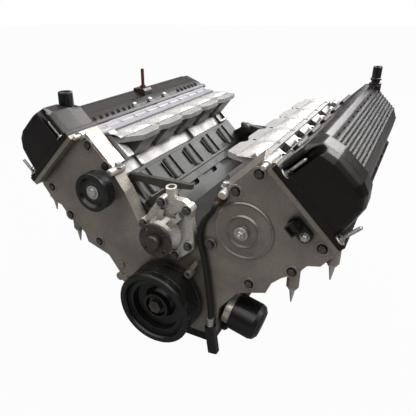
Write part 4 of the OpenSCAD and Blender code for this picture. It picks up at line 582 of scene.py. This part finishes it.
# Left cover's closed inner side with its comb of short ribs, bolts between them, pins and front beads
def addCoverTrim(s):
    work = bmesh.new()
    alongEngine(work, -1, s["fill"], blockFront + s["fillEnds"][0], blockRear + s["fillEnds"][1])
    for first, last in s["combs"]:
        for y in range(first, last, s["toothPitch"]):
            alongEngine(work, -1, s["tooth"], blockFront + y, blockFront + y + s["toothLong"])
    for y in s["boltsAt"]:
        addBlock(work, -1, *s["pad"], y - s["padHalf"], y + s["padHalf"])
    pieceOf("coverCombLeft", work, "coverBlack", s["edge"])
    work = bmesh.new()
    for y in s["boltsAt"]:
        addBolt(work, bankPoint(-1, s["boltW"], s["pad"][3], y), bankUp(-1), s["bolt"])
    pieceOf("coverBoltsLeft", work, "zincBright", s["boltEdge"])
    work = bmesh.new()
    for w, first in s["pinRows"]:
        for k in range(s["pins"]):
            start = bankPoint(1, w, s["crest"], blockFront + first + k * s["pinPitch"])
            addTurned(work, start, bankUp(1), s["pin"], s["pinSteps"])
    pieceOf("coverPinsRight", work, "coverBlack", s["pinEdge"])
    work = bmesh.new()
    for side in (-1, 1):
        for h, proud in s["beads"]:
            addBlock(work, side, *s["beadW"], h, h + s["beadHigh"], coverFront - proud,
                     coverFront + s["beadRoot"])
    pieceOf("coverFrontBeads", work, "coverBlack", s["beadEdge"])


addCoverTrim(coverSet)

filmSet = {
    "x": (121, 157), "top": 300.4, "thick": 0.9, "hump": 6.5, "humpHalf": 42, "humpPower": 0.7, "sidePower": 0.6,
    "runnerY": {-1: -464, 1: -488}, "pitch": 100, "first": -546, "last": -19, "stepY": 4, "stepsX": 9,
    "crinkle": 0.35, "ragged": 1.2, "seed": 7,
}


# Crinkled dust film over each row of intake ports, arched over every port, with the bolt rows left open
def addPortFilm(side, s):
    rolls = random.Random(s["seed"] + side)
    work = bmesh.new()
    rows = int((s["last"] - s["first"]) / s["stepY"])
    layers = []
    for lift in (0, s["thick"]):
        grid = []
        for i in range(rows + 1):
            y = s["first"] + (s["last"] - s["first"]) * i / rows
            near = (y - s["runnerY"][side] + s["pitch"] / 2) % s["pitch"] - s["pitch"] / 2
            arch = 0.0
            if abs(near) < s["humpHalf"]:
                arch = max(0.0, math.cos(math.pi * near / (2 * s["humpHalf"]))) ** s["humpPower"]
            line = []
            for j in range(s["stepsX"] + 1):
                t = j / s["stepsX"]
                across = math.sin(math.pi * t) ** s["sidePower"] if 0 < t < 1 else 0.0
                crinkle = rolls.uniform(-s["crinkle"], s["crinkle"]) if 0 < t < 1 else 0.0
                ragged = rolls.uniform(-s["ragged"], s["ragged"]) if t in (0, 1) else 0.0
                x = s["x"][0] + (s["x"][1] - s["x"][0]) * t + ragged
                z = s["top"] + arch * across * (s["hump"] + crinkle) + lift
                line.append(work.verts.new(Vector((side * x, y, z)) * mm))
            grid.append(line)
        layers.append(grid)
    low, high = layers
    for i in range(rows):
        for j in range(s["stepsX"]):
            for grid in layers:
                work.faces.new((grid[i][j], grid[i + 1][j], grid[i + 1][j + 1], grid[i][j + 1]))
        for j in (0, s["stepsX"]):
            work.faces.new((low[i][j], low[i + 1][j], high[i + 1][j], high[i][j]))
    for i in (0, rows):
        for j in range(s["stepsX"]):
            work.faces.new((low[i][j], low[i][j + 1], high[i][j + 1], high[i][j]))
    pieceOf("portFilm" + sideName(side), work, "filmPale", 0)


makeFinish("filmPale", colour=(0.62, 0.61, 0.6), patch=(0.42, 0.41, 0.4), patchSize=12, metal=0.35, rough=0.32,
           grain=3.5, grainHeight=0.5, swell=9, swellHeight=1.2, edge=0.6, edgeColour=(0.85, 0.84, 0.82),
           grime=(0.12, 0.11, 0.1), stretch=(1.0, 0.5, 1.0))
for side in (-1, 1):
    addPortFilm(side, filmSet)
print("trim built")

# Floor, white background and soft studio lamps; a lamp has a name, place, size in metres and power in watts
lightSet = {
    "around": 0.05, "overhead": 1.5, "below": 0.03, "skyRise": (0.25, 0.95), "groundFall": (0.0, -0.2),
    "tint": (1, 0.985, 0.965, 1), "white": (1, 1, 1, 1), "aim": (0, -0.3, 0.1),
    "lamps": [("key", (1.5, 0.2, 2.4), 1.0, 42), ("left", (-1.7, 0.1, 2.3), 1.2, 24),
              ("back", (0.5, 2.4, 1.9), 1.8, 50), ("front", (0.9, -2.5, 1.9), 0.9, 3)],
    "floorZ": -0.1935, "floorHalf": 14, "floorColour": (0.16, 0.16, 0.16, 1), "floorWhite": 0.97,
}


# One where a ray shows the background itself, and none where it only lights the object
def backgroundRays(tree):
    rays = put(tree, "LightPath").outputs
    return mathNode(tree, "MAXIMUM", rays["Is Camera Ray"], rays["Is Transmission Ray"])


# Surroundings that are bright overhead and dim at the sides, as in a hall with roof lights
def addSurroundings(s):
    world = bpy.data.worlds.new("studio")
    bpy.context.scene.world = world
    world.use_nodes = True
    tree = world.node_tree
    tree.nodes.clear()
    height = put(tree, "SeparateXYZ", None, Vector=put(tree, "TexCoord").outputs["Generated"]).outputs["Z"]
    strength = mathNode(tree, "ADD", ramp(tree, height, *s["skyRise"], s["around"], s["overhead"]),
                        ramp(tree, height, *s["groundFall"], 0, s["below"] - s["around"]))
    plain = put(tree, "Background", None, Color=s["tint"], Strength=strength).outputs[0]
    white = put(tree, "Background", None, Color=s["white"], Strength=1.0).outputs[0]
    both = put(tree, "MixShader", None, in0=backgroundRays(tree), in1=plain, in2=white)
    tree.links.new(both.outputs[0], put(tree, "OutputWorld").inputs[0])


def addLamps(s):
    for name, place, size, power in s["lamps"]:
        lamp = bpy.data.lights.new(name, "AREA")
        lamp.size = size
        lamp.energy = power
        holder = bpy.data.objects.new(name, lamp)
        holder.location = place
        ahead = Vector(s["aim"]) - Vector(place)
        holder.rotation_euler = ahead.to_track_quat("-Z", "Y").to_euler()
        bpy.context.scene.collection.objects.link(holder)


def addFloor(s):
    mesh = bpy.data.meshes.new("floor")
    reach, z = s["floorHalf"], s["floorZ"]
    mesh.from_pydata([(-reach, -reach, z), (reach, -reach, z), (reach, reach, z), (-reach, reach, z)], [],
                     [(0, 1, 2, 3)])
    floor = bpy.data.objects.new("floor", mesh)
    bpy.context.scene.collection.objects.link(floor)
    mat = bpy.data.materials.new("paleFloor")
    mat.use_nodes = True
    tree = mat.node_tree
    tree.nodes.clear()
    diffuse = put(tree, "BsdfDiffuse", None, Color=s["floorColour"]).outputs[0]
    glow = put(tree, "Emission", None, Color=s["white"], Strength=1.0).outputs[0]
    share = mathNode(tree, "MULTIPLY", backgroundRays(tree), s["floorWhite"])
    both = put(tree, "MixShader", None, in0=share, in1=diffuse, in2=glow)
    tree.links.new(both.outputs[0], put(tree, "OutputMaterial").inputs[0])
    mesh.materials.append(mat)


addSurroundings(lightSet)
addLamps(lightSet)
addFloor(lightSet)
print("studio lit")
